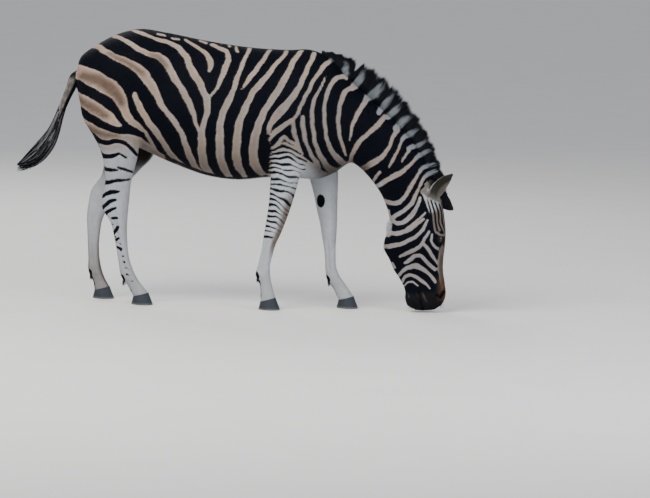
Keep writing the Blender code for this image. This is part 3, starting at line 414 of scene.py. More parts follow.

# Dark bars over the pale ground, and a painted shadow along the underside of the belly.
DARK_BARS = {
    "thigh_bar": [(-73, 101, 3), (-69.5, 99, 3.2), (-65.5, 96, 3.6), (-61, 93, 3.6), (-56, 90.2, 3.2),
        (-51, 88, 3), (-45.5, 87, 2.8), (-40.5, 86.5, 2.6), (-36, 85, 2)],
    "stifle_bar": [(-66, 90, 1.4), (-63.5, 87.5, 1.4), (-60.5, 84.5, 1.7), (-57.5, 82, 1.9),
        (-53.5, 81.2, 1.9), (-49, 81.8, 1.7), (-45, 81.2, 1.5), (-42, 78.5, 1.2), (-38.5, 75, 0.9)],
    "gaskin_bar": [(-60, 78.5, 1.2), (-58, 77, 1.4), (-55.5, 74.8, 1.8), (-52, 74.2, 1.6),
        (-48.5, 75.5, 0.9)],
    "gaskin_line": [(-47.5, 76, 0.7), (-44, 73.5, 0.8)],
    "low_gaskin_bar": [(-58, 69.5, 1), (-56, 69, 1), (-53, 67.8, 1.3), (-49, 67.5, 0.8)],
    "low_gaskin_line": [(-48, 69, 0.7), (-44.5, 67.8, 0.8), (-41, 66.5, 0.6)],
    "hock_bar_1": [(-57, 61.5, 1.6), (-55.5, 61.5, 1.6), (-52, 61.8, 1.6), (-47.5, 62.5, 1.1),
        (-42.5, 63, 0.5)],
    "hock_bar_2": [(-58, 53.5, 1), (-55.5, 55, 1.3), (-53, 56.2, 1.8), (-48, 57, 0.9)],
    "hock_bar_3": [(-57.5, 47.5, 1.1), (-55, 50, 1.3), (-52.5, 51.8, 1.4), (-49.5, 52.8, 0.8)],
    "hock_bar_4": [(-55.5, 45.2, 1.3), (-53, 47.2, 1.3), (-49.5, 48.5, 0.7)],
    "cannon_mark_1": [(-51.5, 43.5, 0.8), (-49, 43.5, 0.7)],
    "cannon_mark_2": [(-50.8, 36, 1.1), (-48.5, 39.2, 1.1)],
    "cannon_mark_3": [(-49.5, 32.5, 0.8), (-48, 33.5, 0.7)],
    "cannon_mark_4": [(-49.2, 29, 0.7), (-47, 28.2, 0.8)],
    "jaw_tip": [(82.5, 32.5, 2), (84.5, 31.5, 1.6)],
    "ear_ring": [(102.5, 57.5, 0.7), (104, 59.2, 1), (106.5, 60, 1), (108.5, 59, 0.8)],
    # painted shadow along the lower outline of the belly
    "painted_belly_shadow": [(-21, 72.6, 0.7), (-14, 69.3, 1), (-7.5, 66.7, 1.2), (2, 64, 1.2), (11.7, 62.9, 1.2),
        (20, 63.3, 1.2), (26.6, 64.2, 1)],
}

# Brown shadow bands inside the pale ones: shadow stripes on the rump and the thigh, and painted shade in the
# hollow behind the elbow.
SHADOW_BANDS = {
    "upper_rump": [(-31.5, 124.8, 1.4), (-26.5, 122.5, 2.2), (-24, 119.5, 2)],
    "middle_rump": [(-52.5, 125.5, 1.6), (-46.5, 122.5, 2), (-40.5, 119.5, 2.4), (-35.5, 115.5, 2)],
    "wide_rump": [(-65.5, 114.5, 4), (-59, 112.8, 5), (-53, 109.5, 5.4), (-49, 106, 5), (-46, 101, 3.4)],
    "thigh": [(-73, 105, 3), (-69.5, 103.5, 3.6), (-64.5, 101, 4), (-59.5, 98, 4), (-54, 94.5, 3.2)],
    "stifle": [(-62.5, 88.5, 2.4), (-58.5, 86.5, 3), (-53.5, 85, 2.6), (-48, 84.5, 2)],
    # painted shade in the hollow behind the elbow
    "behind_elbow": [(26.5, 86, 1.5), (26, 78, 3.5), (26.5, 70, 2.5)],
}

# Brown painted highlights along the folds of the charcoal muzzle.
MUZZLE_HIGHLIGHTS = {
    "lip_fold": [(93.5, 10.5, 0.5), (97, 12.3, 0.8), (101.5, 10, 0.9), (104, 5.5, 0.8), (105.8, 2, 0.5)],
    "chin_fold": [(90.5, 7, 0.4), (93, 8.2, 0.6), (95.5, 7, 0.7), (97, 4, 0.5)],
    "lip_edge": [(98.5, 8.5, 0.5), (101, 6, 0.6), (102.5, 2.5, 0.5)],
}

BOARD_TURN = math.radians(8)
BOARD_TILT = math.radians(5.5)
BOARD_ROLL = math.radians(1.5)
BOARD_START = 8.3
NOWHERE = -9.0

CAMERA_AIM = np.array([0.465, 0.0, 0.304])
CAMERA_DISTANCE = 28.0
VIEW_WIDTH = 3.25
FLOOR_REACH = 12000.0


def board_axes():
    """The board's unit vectors: along it, up it, and back from it to the camera."""
    back = np.array([math.sin(BOARD_TURN), -math.cos(BOARD_TURN), 0]) * math.cos(BOARD_TILT)
    back[2] = math.sin(BOARD_TILT)
    level = np.array([math.cos(BOARD_TURN), math.sin(BOARD_TURN), 0])
    over = np.cross(back, level)
    cos, sin = math.cos(BOARD_ROLL), math.sin(BOARD_ROLL)
    return level * cos + over * sin, over * cos - level * sin, back


# --- properties


def colour_property(name, description, *default):
    """A colour that a user may change."""
    return FloatVectorProperty(
        name=name, description=description, subtype="COLOR", size=3, min=0.0, max=1.0, default=default
    )


def length_property(name, description, default):
    """A length that a user may change."""
    return FloatProperty(name=name, description=description, default=default, unit="LENGTH")


def power_property(name, description, default):
    """A light's power that a user may change."""
    return FloatProperty(name=name, description=description, default=default, unit="POWER")


class ZebraSkinSettings(bpy.types.PropertyGroup):
    coat_depth: length_property("Coat depth", "How far the skin lies inside the coat on the trunk", 0.004)
    face_depth: length_property("Face depth", "How far it lies inside on the head and legs", 0.0022)
    seam_reach: length_property("Seam reach", "How far a leg's meeting with the trunk is smoothed", 0.034)


class ZebraCoatSettings(bpy.types.PropertyGroup):
    black: colour_property("Black", "The dark stripes", 0.0010, 0.0020, 0.0044)
    flank: colour_property("Flank", "The pale stripes of the flank", 0.255, 0.226, 0.205)
    rump: colour_property("Rump", "The pale stripes of the rump", 0.34, 0.27, 0.22)
    legs: colour_property("Legs", "The pale ground of the legs", 0.43, 0.455, 0.485)
    crest: colour_property("Crest", "The pale patches of the mane", 0.17, 0.19, 0.205)
    # also the colour of the painted shade behind the elbow, along the legs' front edges, on the far hind leg
    # and between the hind legs
    shadow: colour_property("Shadow", "The brown shadow stripes", 0.10, 0.068, 0.05)
    muzzle: colour_property("Muzzle", "The bare charcoal muzzle", 0.006, 0.0062, 0.0072)
    bridge: colour_property("Bridge", "The brown of the nose", 0.075, 0.055, 0.042)
    tuft_length: length_property("Tuft length", "Length of a tuft on the trunk", 0.013)
    tuft_width: length_property("Tuft width", "Width of a tuft on the trunk", 0.0016)
    tufts: IntProperty(
        name="Tufts", description="Tufts on each piece of the coat", default=62000, min=100, max=66000
    )


class ZebraHairSettings(bpy.types.PropertyGroup):
    mane_locks: IntProperty(name="Mane locks", description="Locks in the mane", default=8200, min=10)
    tail_locks: IntProperty(name="Tail locks", description="Locks in the tail", default=2600, min=10)
    lock_width: length_property("Lock width", "Width of a lock of the mane", 0.0034)
    seed: IntProperty(name="Seed", description="Start of every random draw", default=7)


class ZebraFeatureSettings(bpy.types.PropertyGroup):
    horn: colour_property("Horn", "The hooves", 0.0125, 0.0165, 0.0225)
    iris: colour_property("Iris", "The brown of the eye", 0.035, 0.014, 0.006)
    lid: colour_property("Lid", "The bare skin of the lids", 0.0035, 0.0033, 0.004)


class ZebraStageSettings(bpy.types.PropertyGroup):
    floor: colour_property("Floor", "The pale floor", 0.62, 0.60, 0.58)
    key: power_property("Key", "Power of the main light", 900.0)
    fill: power_property("Fill", "Power of the side lights", 260.0)


# --- shader maths


class Sum:
    """A socket that Python's operators work on, each adding a Math node."""

    def __init__(self, tree, socket):
        self.tree = tree
        self.socket = socket

    def maths(self, operation, *values, clamp=False):
        node = self.tree.nodes.new("ShaderNodeMath")
        node.operation = operation
        node.use_clamp = clamp
        for place, value in enumerate(values):
            if isinstance(value, Sum):
                self.tree.links.new(value.socket, node.inputs[place])
            else:
                node.inputs[place].default_value = value
        return Sum(self.tree, node.outputs[0])

    def __add__(self, other):
        return self.maths("ADD", self, other)

    def __sub__(self, other):
        return self.maths("SUBTRACT", self, other)

    def __rsub__(self, other):
        return self.maths("SUBTRACT", other, self)

    def __mul__(self, other):
        return self.maths("MULTIPLY", self, other)

    __radd__ = __add__
    __rmul__ = __mul__

    def clamped(self):
        return self.maths("ADD", self, 0.0, clamp=True)

    def root(self):
        return self.maths("SQRT", self)


class Finish:
    """A material under construction: its tree, its shader and its nodes."""

    def __init__(self, name):
        self.material = bpy.data.materials.new(name)
        self.material.use_nodes = True
        self.tree = self.material.node_tree
        self.shader = self.tree.nodes["Principled BSDF"]

    def node(self, kind, settings=None, inputs=None, output=0):
        """Any node from its type, its settings, and its sockets' values or links."""
        made = self.tree.nodes.new(kind)
        for key, value in (settings or {}).items():
            setattr(made, key, value)
        for key, value in (inputs or {}).items():
            self.feed(made.inputs[key], value)
        return Sum(self.tree, made.outputs[output])

    def feed(self, socket, value):
        if isinstance(value, Sum):
            self.tree.links.new(value.socket, socket)
        elif socket.type == "RGBA" and len(value) == 3:
            socket.default_value = (*value, 1)
        else:
            socket.default_value = value

    def set(self, **values):
        """Feeds the shader's sockets, named with underscores for spaces."""
        for name, value in values.items():
            self.feed(self.shader.inputs[name.replace("_", " ")], value)
        return self.material

    def vector(self, operation, first, second, output=0):
        """A Vector Math node on two vectors."""
        return self.node("ShaderNodeVectorMath", {"operation": operation}, {0: first, 1: second}, output)

    def place(self, stretch, layer=None):
        """Object coordinates, or a named map's, times the stretch along each axis."""
        if layer:
            spot = self.node("ShaderNodeUVMap", {"uv_map": layer})
        else:
            spot = self.node("ShaderNodeTexCoord", output="Object")
        return self.vector("MULTIPLY", spot, stretch)

    def noise(self, stretch, detail, layer=None):
        """Noise from 0 to 1 whose grain is stretched along the axes."""
        inputs = {"Vector": self.place(stretch, layer), "Scale": 1.0, "Detail": detail}
        return self.node("ShaderNodeTexNoise", None, inputs)

    def mix(self, share, first, second, blend_type="MIX"):
        """Two colours mixed by a share from 0 to 1."""
        settings = {"data_type": "RGBA", "blend_type": blend_type}
        return self.node("ShaderNodeMix", settings, {0: share, 6: first, 7: second}, output=2)

    def toned(self, colour, tone):
        """A colour times a number."""
        grey = self.node("ShaderNodeCombineColor", None, {0: tone, 1: tone, 2: tone})
        return self.mix(1.0, colour, grey, "MULTIPLY")

    def attribute(self, name, output="Fac"):
        return self.node("ShaderNodeAttribute", {"attribute_name": name}, output=output)

    def bump(self, height, strength, distance):
        inputs = {"Height": height, "Strength": strength, "Distance": distance}
        return self.node("ShaderNodeBump", None, inputs)


# --- curves and rings


def circle(sides):
    """Angles spaced evenly round a circle."""
    return np.arange(sides) * 2 * math.pi / sides


def ramp(value, start, end):
    """From 0 at start to 1 at end, which may be the lower one, as 3t^2 - 2t^3."""
    t = np.clip((value - start) / (end - start), 0, 1)
    return t * t * (3 - 2 * t)


def blend(first, second, share):
    """first where share is 0 and second where it is 1."""
    return first + (np.asarray(second) - first) * (share[:, None] if np.ndim(first) == 2 else share)


def unit(vectors):
    """Vectors along the last axis, each made one long."""
    return vectors / np.maximum(norm(vectors, axis=-1, keepdims=True), 1e-9)


def folded(points):
    """The points with their distance from the midline as Y."""
    return np.stack([points[..., 0], np.abs(points[..., 1]), points[..., 2]], axis=-1)


def curve_at(rows, where):
    """The cubic through rows of numbers, at places counted in rows.

    Between two rows it is start(2t^3-3t^2+1) + leave(t^3-2t^2+t)
    + end(3t^2-2t^3) + arrive(t^3-t^2), its slopes the mean of its neighbours'.
    """
    rows = np.asarray(rows, float)
    where = np.asarray(where, float)
    span = norm(np.diff(rows, axis=0), axis=1)[:, None]
    rate = np.diff(rows, axis=0) / span
    slope = np.empty_like(rows)
    slope[0], slope[-1] = rate[0], rate[-1]
    slope[1:-1] = (rate[:-1] * span[1:] + rate[1:] * span[:-1]) / (span[1:] + span[:-1])
    index = np.clip(where.astype(int), 0, len(rows) - 2)
    t = (where - index)[:, None]
    length = span[index]
    return (
        rows[index] * (2 * t**3 - 3 * t**2 + 1)
        + slope[index] * length * (t**3 - 2 * t**2 + t)
        + rows[index + 1] * (3 * t**2 - 2 * t**3)
        + slope[index + 1] * length * (t**3 - t**2)
    )


def even_places(lines, pitches):
    """Places counted in rows, each span cut into steps of its pitch or less."""
    steps = norm(np.diff(lines, axis=0), axis=2).mean(axis=1)
    counts = np.ceil(steps / pitches).astype(int)
    parts = [index + np.arange(count) / count for index, count in enumerate(counts)]
    return np.concatenate([*parts, [float(len(counts))]])


def section_grid(rows, sides):
    """Rings of points from rows of top, low, half, widest, upper, lower and off.

    Round a ring, height and width are the 2/p powers of an angle's cosine and
    sine, with p the squareness. A ring starts at the bottom.
    """
    top_x, top_z, low_x, low_z, half, widest, upper, lower, off = np.asarray(rows).T[:, :, None]
    angle = (math.pi + circle(sides))[None]
    up, across = np.cos(angle), np.sin(angle)
    power = 2 / np.where(up > 0, 2 + (upper - 2) * up, 2 - (lower - 2) * up)
    along = np.abs(up) ** power * np.sign(up)
    share = widest - np.where(along > 0, along * widest, along * (1 - widest))
    x = top_x + (low_x - top_x) * share
    z = top_z + (low_z - top_z) * share
    y = off + half * np.abs(across) ** power * np.sign(across)
    return np.stack([x, y, z], axis=-1)


def grid_normals(grid):
    """Outward normals of closed rings: the product of the along and around steps."""
    around = np.roll(grid, -1, axis=1) - np.roll(grid, 1, axis=1)
    normal = unit(np.cross(np.gradient(grid, axis=0), around))
    spread = ((grid - grid.mean(axis=1, keepdims=True)) * normal).sum()
    return normal if spread > 0 else -normal


def push_forms(grid, forms):
    """The grid with each form pushed out along the normal, as a Gaussian of distance."""
    moved = np.zeros(grid.shape[:2])
    for form in forms:
        reach = [form.reach_x, form.reach_y, form.reach_z]
        away = (folded(grid) - [form.x, form.y, form.z]) / reach
        moved += form.push * np.exp(-(away**2).sum(axis=-1))
    return grid + moved[..., None] * grid_normals(grid)


def distance_to_line(spot, start, end):
    """Distance from points to the straight line between two ends."""
    start, way = np.array(start, float), np.subtract(end, start)
    share = np.clip(((spot - start) @ way) / (way @ way), 0, 1)
    return norm(spot - start - share[..., None] * way, axis=-1)


def cut_furrows(grid):
    """The grid with each furrow sunk by depth * exp(-(distance / half)^2), and a low rim."""
    sunk = np.zeros(grid.shape[:2])
    for furrow in FURROWS:
        away = distance_to_line(folded(grid), furrow.start, furrow.end) / furrow.half
        deep = np.exp(-(away**2)) * furrow.depth
        rim = np.exp(-((away - 1.9) ** 2) / 0.5) * 0.12 * abs(furrow.depth)
        sunk = np.where(np.abs(deep) > np.abs(sunk), deep, sunk) - rim
    return grid - sunk[..., None] * grid_normals(grid)


NECK_START = (55.0, 95.0)
NECK_END = (90.0, 58.0)
TURN_STEPS = 65
STRAIGHTEN_ROUNDS = 24


def turn_head(points):
    """Points with the neck bent to the left about the upright axis.

    The share of the turn grows along the neck's own line as 3t^2 - 2t^3, from
    none at NECK_START to all at NECK_END, and the head past it stays rigid.
    """
    line = np.subtract(NECK_END, NECK_START)
    share = np.clip(((points[..., [0, 2]] - NECK_START) @ line) / (line @ line), 0, 1)
    turn = HEAD_TURN * ramp(share, 0, 1)
    steps = np.linspace(0, 1, TURN_STEPS)
    angles = HEAD_TURN * ramp(steps, 0, 1)
    stride = line[0] / (TURN_STEPS - 1)
    back = np.interp(share, steps, np.cumsum(np.cos(angles) - 1) * stride)
    aside = np.interp(share, steps, np.cumsum(np.sin(angles)) * stride)
    pivot = NECK_START[0] + line[0] * share
    ahead = points[..., 0] - pivot
    x = pivot + back + ahead * np.cos(turn) - points[..., 1] * np.sin(turn)
    y = aside + ahead * np.sin(turn) + points[..., 1] * np.cos(turn)
    return np.stack([x, y, points[..., 2]], axis=-1)


def in_neck(points):
    """1 where a point moves with the neck and head, and 0 on the legs below them."""
    return np.maximum(ramp(points[:, 0], 58, 64), ramp(points[:, 2], 60, 70))[:, None]


def straighten(points):
    """The points before turn_head, by repeated correction of a guess."""
    guess = points.copy()
    for _ in range(STRAIGHTEN_ROUNDS):
        guess += (points - turn_head(guess)) * 0.9
    return points + (guess - points) * in_neck(points)


# --- surfaces


def linked(name, data):
    """A new object of the data, in the scene."""
    obj = bpy.data.objects.new(name, data)
    bpy.context.scene.collection.objects.link(obj)
    return obj


def new_object(name, points, faces, uv=None):
    """An object from points in centimetres and lists of face corners, with its UV map."""
    mesh = bpy.data.meshes.new(name)
    corners = np.concatenate([f.ravel() for f in faces]).astype(np.int32)
    sizes = np.concatenate([np.full(len(f), f.shape[1]) for f in faces])
    mesh.vertices.add(len(points))
    mesh.vertices.foreach_set("co", (np.asarray(points, float) * CM).ravel())
    mesh.loops.add(len(corners))
    mesh.loops.foreach_set("vertex_index", corners)
    mesh.polygons.add(len(sizes))
    mesh.polygons.foreach_set("loop_start", (np.cumsum(sizes) - sizes).astype(np.int32))
    if uv is not None:
        layer = mesh.uv_layers.new(name="OFBake")
        layer.uv.foreach_set("vector", np.concatenate([u.reshape(-1, 2) for u in uv]).ravel())
    mesh.update(calc_edges=True)
    mesh.validate()
    mesh.shade_smooth()
    return linked(name, mesh)


def volume(points, faces):
    """Signed volume of a closed surface, the sum of its faces' tetrahedra over six."""
    total = 0.0
    for face in faces:
        for k in range(1, face.shape[1] - 1):
            first, second, third = (points[face[:, corner]] for corner in (0, k, k + 1))
            total += (first * np.cross(second, third)).sum()
    return total / 6


def outwards(points, faces, uv):
    """The points, and the faces and their map turned over if the surface is inside out."""
    if volume(points, faces) < 0:
        faces, uv = [f[:, ::-1] for f in faces], [u[:, ::-1] for u in uv]
    return points, faces, uv


def cells(first, second):
    """The two indices of every cell of a grid, and of its corners in turn."""
    one, other = np.meshgrid(np.arange(first), np.arange(second), indexing="ij")
    return one.reshape(-1, 1) + [0, 0, 1, 1], other.reshape(-1, 1) + [0, 1, 1, 0]


def shell(grid, box=(0, 0, 1, 1), bulges=(0.0, 0.0), dome=0):
    """Points, faces and UVs of rings closed at both ends.

    An end is a point pushed out by its bulge, after dome rings that shrink as
    the cosine and stand out as the sine of an angle. The map is the ring's
    distance along and the side round, inside box.
    """
    turn = (np.arange(1, dome + 1) / (dome + 1) * math.pi / 2)[:, None, None]
    caps, tips = [], []
    for ring, inner, bulge in ((grid[0], grid[1], bulges[0]), (grid[-1], grid[-2], bulges[1])):
        centre = ring.mean(axis=0)
        way = unit(centre - inner.mean(axis=0)) * bulge
        caps.append(centre + (ring - centre) * np.cos(turn) + way * np.sin(turn))
        tips.append(centre + way)
    grid = np.concatenate([caps[0][::-1], grid, caps[1]])
    rings, sides = grid.shape[:2]
    points = np.concatenate([grid.reshape(-1, 3), tips])
    stride = norm(np.diff(grid.mean(axis=1), axis=0), axis=1)
    stride = np.maximum(stride, norm(np.diff(grid, axis=0), axis=2).mean(axis=1))
    along = np.concatenate([[0], np.cumsum(stride)])
    along = 0.004 + 0.992 * along / along[-1]
    ring, side = cells(rings - 1, sides)
    spin = np.arange(sides)[:, None]
    after, top = (spin + 1) % sides, rings * sides
    tip = np.full_like(spin, top)
    faces = [
        ring * sides + side % sides,
        np.concatenate([spin, tip, after], axis=1),
        np.concatenate([top - sides + spin, top - sides + after, tip + 1], axis=1),
    ]
    low, high = np.tile(along[0], (sides, 3)) * [1, 0, 1], np.tile([along[-1], along[-1], 1], (sides, 1))
    layout = [
        (along[ring], side / sides),
        (low, (spin + [0, 0.5, 1]) / sides),
        (high, (spin + [0, 1, 0.5]) / sides),
    ]
    spread = np.subtract(box[2:], box[:2])
    return outwards(points, faces, [np.stack(pair, axis=-1) * spread + box[:2] for pair in layout])


def joined(shells):
    """Several shells as the points, faces and UVs of one mesh."""
    starts = np.cumsum([0] + [len(part[0]) for part in shells])
    faces = [f + start for part, start in zip(shells, starts) for f in part[1]]
    return np.concatenate([part[0] for part in shells]), faces, [u for part in shells for u in part[2]]


def read(what, name, width=1, kind=np.float32):
    """An array of one number or vector for each item of a mesh."""
    values = np.empty(len(what) * width, kind)
    what.foreach_get(name, values)
    values = values.reshape(-1, width).squeeze()
    return values if kind is np.int32 else values.astype(float)


def write_tones(mesh, values):
    """Named attributes for each point of a mesh, a number or a colour each."""
    for name, value in values.items():
        kind, key = ("FLOAT", "value") if value.ndim == 1 else ("FLOAT_COLOR", "color")
        if value.ndim == 2 and value.shape[1] == 3:
            value = np.column_stack([value, np.ones(len(value))])
        made = mesh.attributes.new(name, kind, "POINT")
        made.data.foreach_set(key, value.astype(np.float32).ravel())


# --- body parts

BODY_SIDES = 176
LEG_SIDES = 56


def body_grid(coat_depth, face_depth):
    """The rings of the skin from the rump to the mouth, inside the coat's outline."""
    sections = np.array([[*s[1:], 0.0] for s in BODY])
    lines = np.stack([sections[:, :2], sections[:, 2:4]], axis=1)
    pitches = np.full(len(BODY) - 1, 1.05)
    for name, pitch in (("neck_root", 0.92), ("throat", 0.52), ("nose", 0.34)):
        pitches[BODY_NAMES.index(name) :] = pitch
    grid = section_grid(curve_at(sections, even_places(lines, pitches)), BODY_SIDES)
    grid = push_forms(grid, FORMS)
    grid = cut_furrows(push_forms(grid, FINE_FORMS))
    head = ramp(grid[..., 0], 66, 92) * ramp(grid[..., 2], 85, 62)
    depth = coat_depth + (face_depth - coat_depth) * head
    return turn_head(grid - grid_normals(grid) * depth[..., None])


def coronet_ring(leg):
    """The ring where the pastern meets the hoof."""
    (back_x, back_z), (front_x, front_z) = CORONET_BACK, CORONET_FRONT
    ends = (leg.heel_x + back_x, back_z, leg.heel_x + front_x, front_z)
    return Ring("coronet", *ends, leg.rings[-1].off, CORONET_HALF)


def leg_grid(leg, depth):
    """Rings of one leg, its cannon pinched between the bone and the tendons."""
    rings = [*leg.rings, coronet_ring(leg)]
    rows = [[r.front_x, r.front_z, r.back_x, r.back_z, r.half, 0.5, 2.2, 2.1, r.off] for r in rings]
    rows = np.array(rows)
    lines = np.stack([rows[:, :2], rows[:, 2:4]], axis=1)
    grid = section_grid(curve_at(rows, even_places(lines, np.full(len(rows) - 1, 0.6))), LEG_SIDES)
    front = grid[:, LEG_SIDES // 2 : LEG_SIDES // 2 + 1]
    way = grid[:, 0:1] - front
    share = ((grid - front) * way).sum(axis=2) / (way**2).sum(axis=2)
    height = grid[:, :1, 2]
    low = ramp(height, 16, 20) * ramp(height, leg.tendon_top + 3, leg.tendon_top - 3)
    pinch = 0.24 * low * np.exp(-(((share - 0.6) / 0.13) ** 2))
    middle = grid[..., 1].mean(axis=1, keepdims=True)
    grid[..., 1] = middle + (grid[..., 1] - middle) * (1 - pinch)
    return (grid - grid_normals(grid) * depth) * [1, leg.side, 1]


def ear_frame(ear):
    """The unit vectors along an ear, out of its opening, and across it."""
    axis = unit(np.array(ear.direction))
    facing = unit(np.array(ear.opening) - axis * (np.array(ear.opening) @ axis))
    return axis, facing, np.cross(axis, facing)


def ear_grid(ear, rings=46, sides=25):
    """A cupped leaf: crescents that wrap far round at the root and open to the tip."""
    axis, facing, across = ear_frame(ear)
    share = (np.linspace(0, 1, rings) ** 0.9)[:, None, None]
    round_share = np.linspace(-1, 1, sides)[None, :, None]
    width = EAR_HALF_WIDTH * (0.60 + 0.40 * np.sin(math.pi * np.minimum(share / 0.9, 1)) ** 0.8)
    width = width * np.sqrt(np.maximum(1 - share**6, 0.03)) - EAR_INSET
    depth = width * (1.0 - 0.6 * share)
    wrap = np.radians(140 - 66 * share**0.6)
    arc = round_share * wrap
    wide = np.sin(arc) / np.sin(np.minimum(wrap, math.pi / 2))
    thin = np.minimum(EAR_WALL, depth * 0.45) * (0.25 + 0.75 * (1 - np.abs(round_share) ** 8))
    outer = width * wide * across - depth * np.cos(arc) * facing
    inner = (width - thin) * wide * across - (depth - thin) * np.cos(arc) * facing
    lean = axis * EAR_LENGTH * share - facing * np.sin(math.pi * share)
    grid = np.concatenate([outer, inner[:, ::-1]], axis=1) + lean
    return turn_head((grid + ear.root) * [1, ear.side, 1])


def ear_shell(grid, box):
    """Points, faces and UVs of an ear, its ends closed by a strip between its walls."""
    rings, sides = grid.shape[:2]
    points, faces, uv = shell(grid, box)
    points = points[:-2]
    side = np.arange(sides // 2 - 1)[:, None]
    far = sides - 1 - side
    edge = (side + [0, 1, 1, 0]) / sides
    strips, maps = [], []
    for start, where in ((0, 0.0), ((rings - 1) * sides, 1.0)):
        strips.append(np.concatenate([side, side + 1, far - 1, far], axis=1) + start)
        spot = np.stack([np.full(edge.shape, where), edge], axis=-1)
        maps.append(spot * np.subtract(box[2:], box[:2]) + box[:2])
    for one in (1, -1):
        for other in (1, -1):
            choice = [faces[0], strips[0][:, ::one], strips[1][:, ::other]]
            if matched(choice):
                return outwards(points, choice, [uv[0], maps[0][:, ::one], maps[1][:, ::other]])
    raise RuntimeError("An ear's ends don't close")


def matched(faces):
    """Whether every edge is used once in each direction."""
    edges = np.concatenate([np.stack([f, np.roll(f, -1, axis=1)], axis=2).reshape(-1, 2) for f in faces])
    size = edges.max() + 1
    one = np.sort(edges[:, 0] * size + edges[:, 1])
    other = np.sort(edges[:, 1] * size + edges[:, 0])
    return len(np.unique(one)) == len(one) and np.array_equal(one, other)


def blend_seam(points, edges, seam, reach, rounds):
    """Draws points near a seam towards their neighbours' mean, most at the seam."""
    away = np.full(len(points), np.inf)
    spots = points[seam]
    low, high = spots.min(axis=0) - 3 * reach, spots.max(axis=0) + 3 * reach
    near = np.flatnonzero(((points > low) & (points < high)).all(axis=1))
    for part in np.array_split(near, max(1, len(near) // 4000)):
        gap = ((points[part, None] - spots[None]) ** 2).sum(axis=2)
        away[part] = np.sqrt(gap.min(axis=1))
    weight = np.exp(-((away / reach) ** 2)) * 0.62
    live = weight > 0.004
    kept = edges[live[edges].any(axis=1)]
    start, end = np.concatenate([kept, kept[:, ::-1]]).T
    count = np.maximum(np.bincount(start, minlength=len(points)), 1)
    for _ in range(rounds):
        total = [np.bincount(start, points[end, k], minlength=len(points)) for k in range(3)]
        mean = np.stack(total, axis=1) / count[:, None]
        points[live] += (mean - points)[live] * weight[live, None]


# --- painting the markings


def gaps(place, start, way):
    """Each place's step from every line's start, its share along and its distance."""
    spot = place[:, None] - start
    share = np.clip((spot * way).sum(axis=2) / np.maximum((way**2).sum(axis=1), 1e-9), 0, 1)
    return spot, share, norm(spot - share[..., None] * way, axis=2)


def band_field(place, bands):
    """How far inside the nearest band each place lies: half its width less the distance."""
    field = np.full(len(place), NOWHERE)
    for band in bands.values():
        line = curve_at(band, np.linspace(0, len(band) - 1, (len(band) - 1) * 4 + 1))
        spots, half = line[:, :2], line[:, 2:] / 2
        low, high = (spots - half).min(axis=0) - 5, (spots + half).max(axis=0) + 5
        near = np.flatnonzero(((place > low) & (place < high)).all(axis=1))
        for part in np.array_split(near, max(1, len(near) // 6000)):
            _, share, gap = gaps(place[part], spots[:-1], np.diff(spots, axis=0))
            inside = half[:-1, 0] + share * np.diff(half[:, 0]) - gap
            field[part] = np.maximum(field[part], inside.max(axis=1))
    return field


def ground_field(place, corners):
    """Distance to a region's edge, positive inside it."""
    start = np.array(corners, float)
    way = np.roll(start, -1, axis=0) - start
    slope = way[:, 0] / np.where(way[:, 1] == 0, 1e-9, way[:, 1])
    field = np.empty(len(place))
    for part in np.array_split(np.arange(len(place)), max(1, len(place) // 8000)):
        spot, _, gap = gaps(place[part], start, way)
        crossed = (spot[..., 1] >= 0) != (spot[..., 1] >= way[:, 1])
        odd = (crossed & (spot[..., 0] < spot[..., 1] * slope)).sum(axis=1) % 2
        field[part] = gap.min(axis=1) * (2 * odd - 1)
    return field


def leg_line(rings, height):
    """The x of a leg's middle, and its distance from the midline, at heights."""
    rows = [((r.back_z + r.front_z) / 2, (r.back_x + r.front_x) / 2, r.off) for r in rings[::-1]]
    level, middle, off = np.array(rows).T
    return np.interp(height, level, middle), np.interp(height, level, off)


def slide_left_legs(plan):
    """How far ahead of the right leg each left one stands, at the points' places."""
    x, y, z = plan.T
    slide = np.zeros(len(plan))
    fore, hind = (x > -5) & (x < 72), x < -5
    for right, left, region in (
        (FORELEG_RIGHT, FORELEG_LEFT, fore),
        (HIND_LEG_RIGHT, HIND_LEG_LEFT, hind),
    ):
        middle = leg_line(left, z)[0]
        near = np.maximum(np.exp(-(((x - middle) / 16) ** 2)), ramp(z, 66, 58))
        near *= ramp(z, 100, 86)
        slide += np.where(region & (y > 0), (middle - leg_line(right, z)[0]) * near, 0)
    return slide


def on_board(plan):
    """Where straightened points fall on the drawing board, the left half mirrored."""
    spot = plan.copy()
    spot[:, 0] -= slide_left_legs(plan)
    left = ramp(plan[:, 1], 2, 12)
    spot[:, 0] += left * 1.6 * np.sin(plan[:, 2] / 11 + plan[:, 0] / 23)
    spot[:, 2] += left * 1.2 * np.sin(plan[:, 0] / 13 + 1)
    spot[:, 1] = -np.abs(spot[:, 1])
    spot += (turn_head(spot) - spot) * in_neck(spot)
    return (spot + [BOARD_START, 0, 0]) @ np.stack(board_axes()[:2], axis=1)


def foreleg_bars(place):
    """The narrow bars of the foreleg: waves in height, arched above and raked below."""
    along, up = place.T
    arch = ramp(up, 66, 76)
    level = up + 0.22 * (along - 33) * (1 - arch) + arch * 0.05 * (along - 34.5) ** 2
    level += ramp(up, 56, 50) * 0.55 * np.maximum(along - 30.5, 0)
    level += 0.3 * np.sin(along * 0.7 + up * 0.31) + 0.2 * np.sin(up * 0.83)
    wave = np.cos(level * 2 * math.pi / 2.72)
    across = np.clip((along - 26.0) / (8 + 0.25 * (up - 38)), 0, 1)
    thick = -0.12 + 0.62 * across * (1 - 0.6 * arch) + 0.5 * ramp(up, 45, 34)
    thick += 0.14 * np.sin(up * 1.3 + along * 0.4)
    outside = np.minimum(81.5 - up, up - 33.5) * 0.5
    return np.minimum((wave - thick) * 0.44, outside)


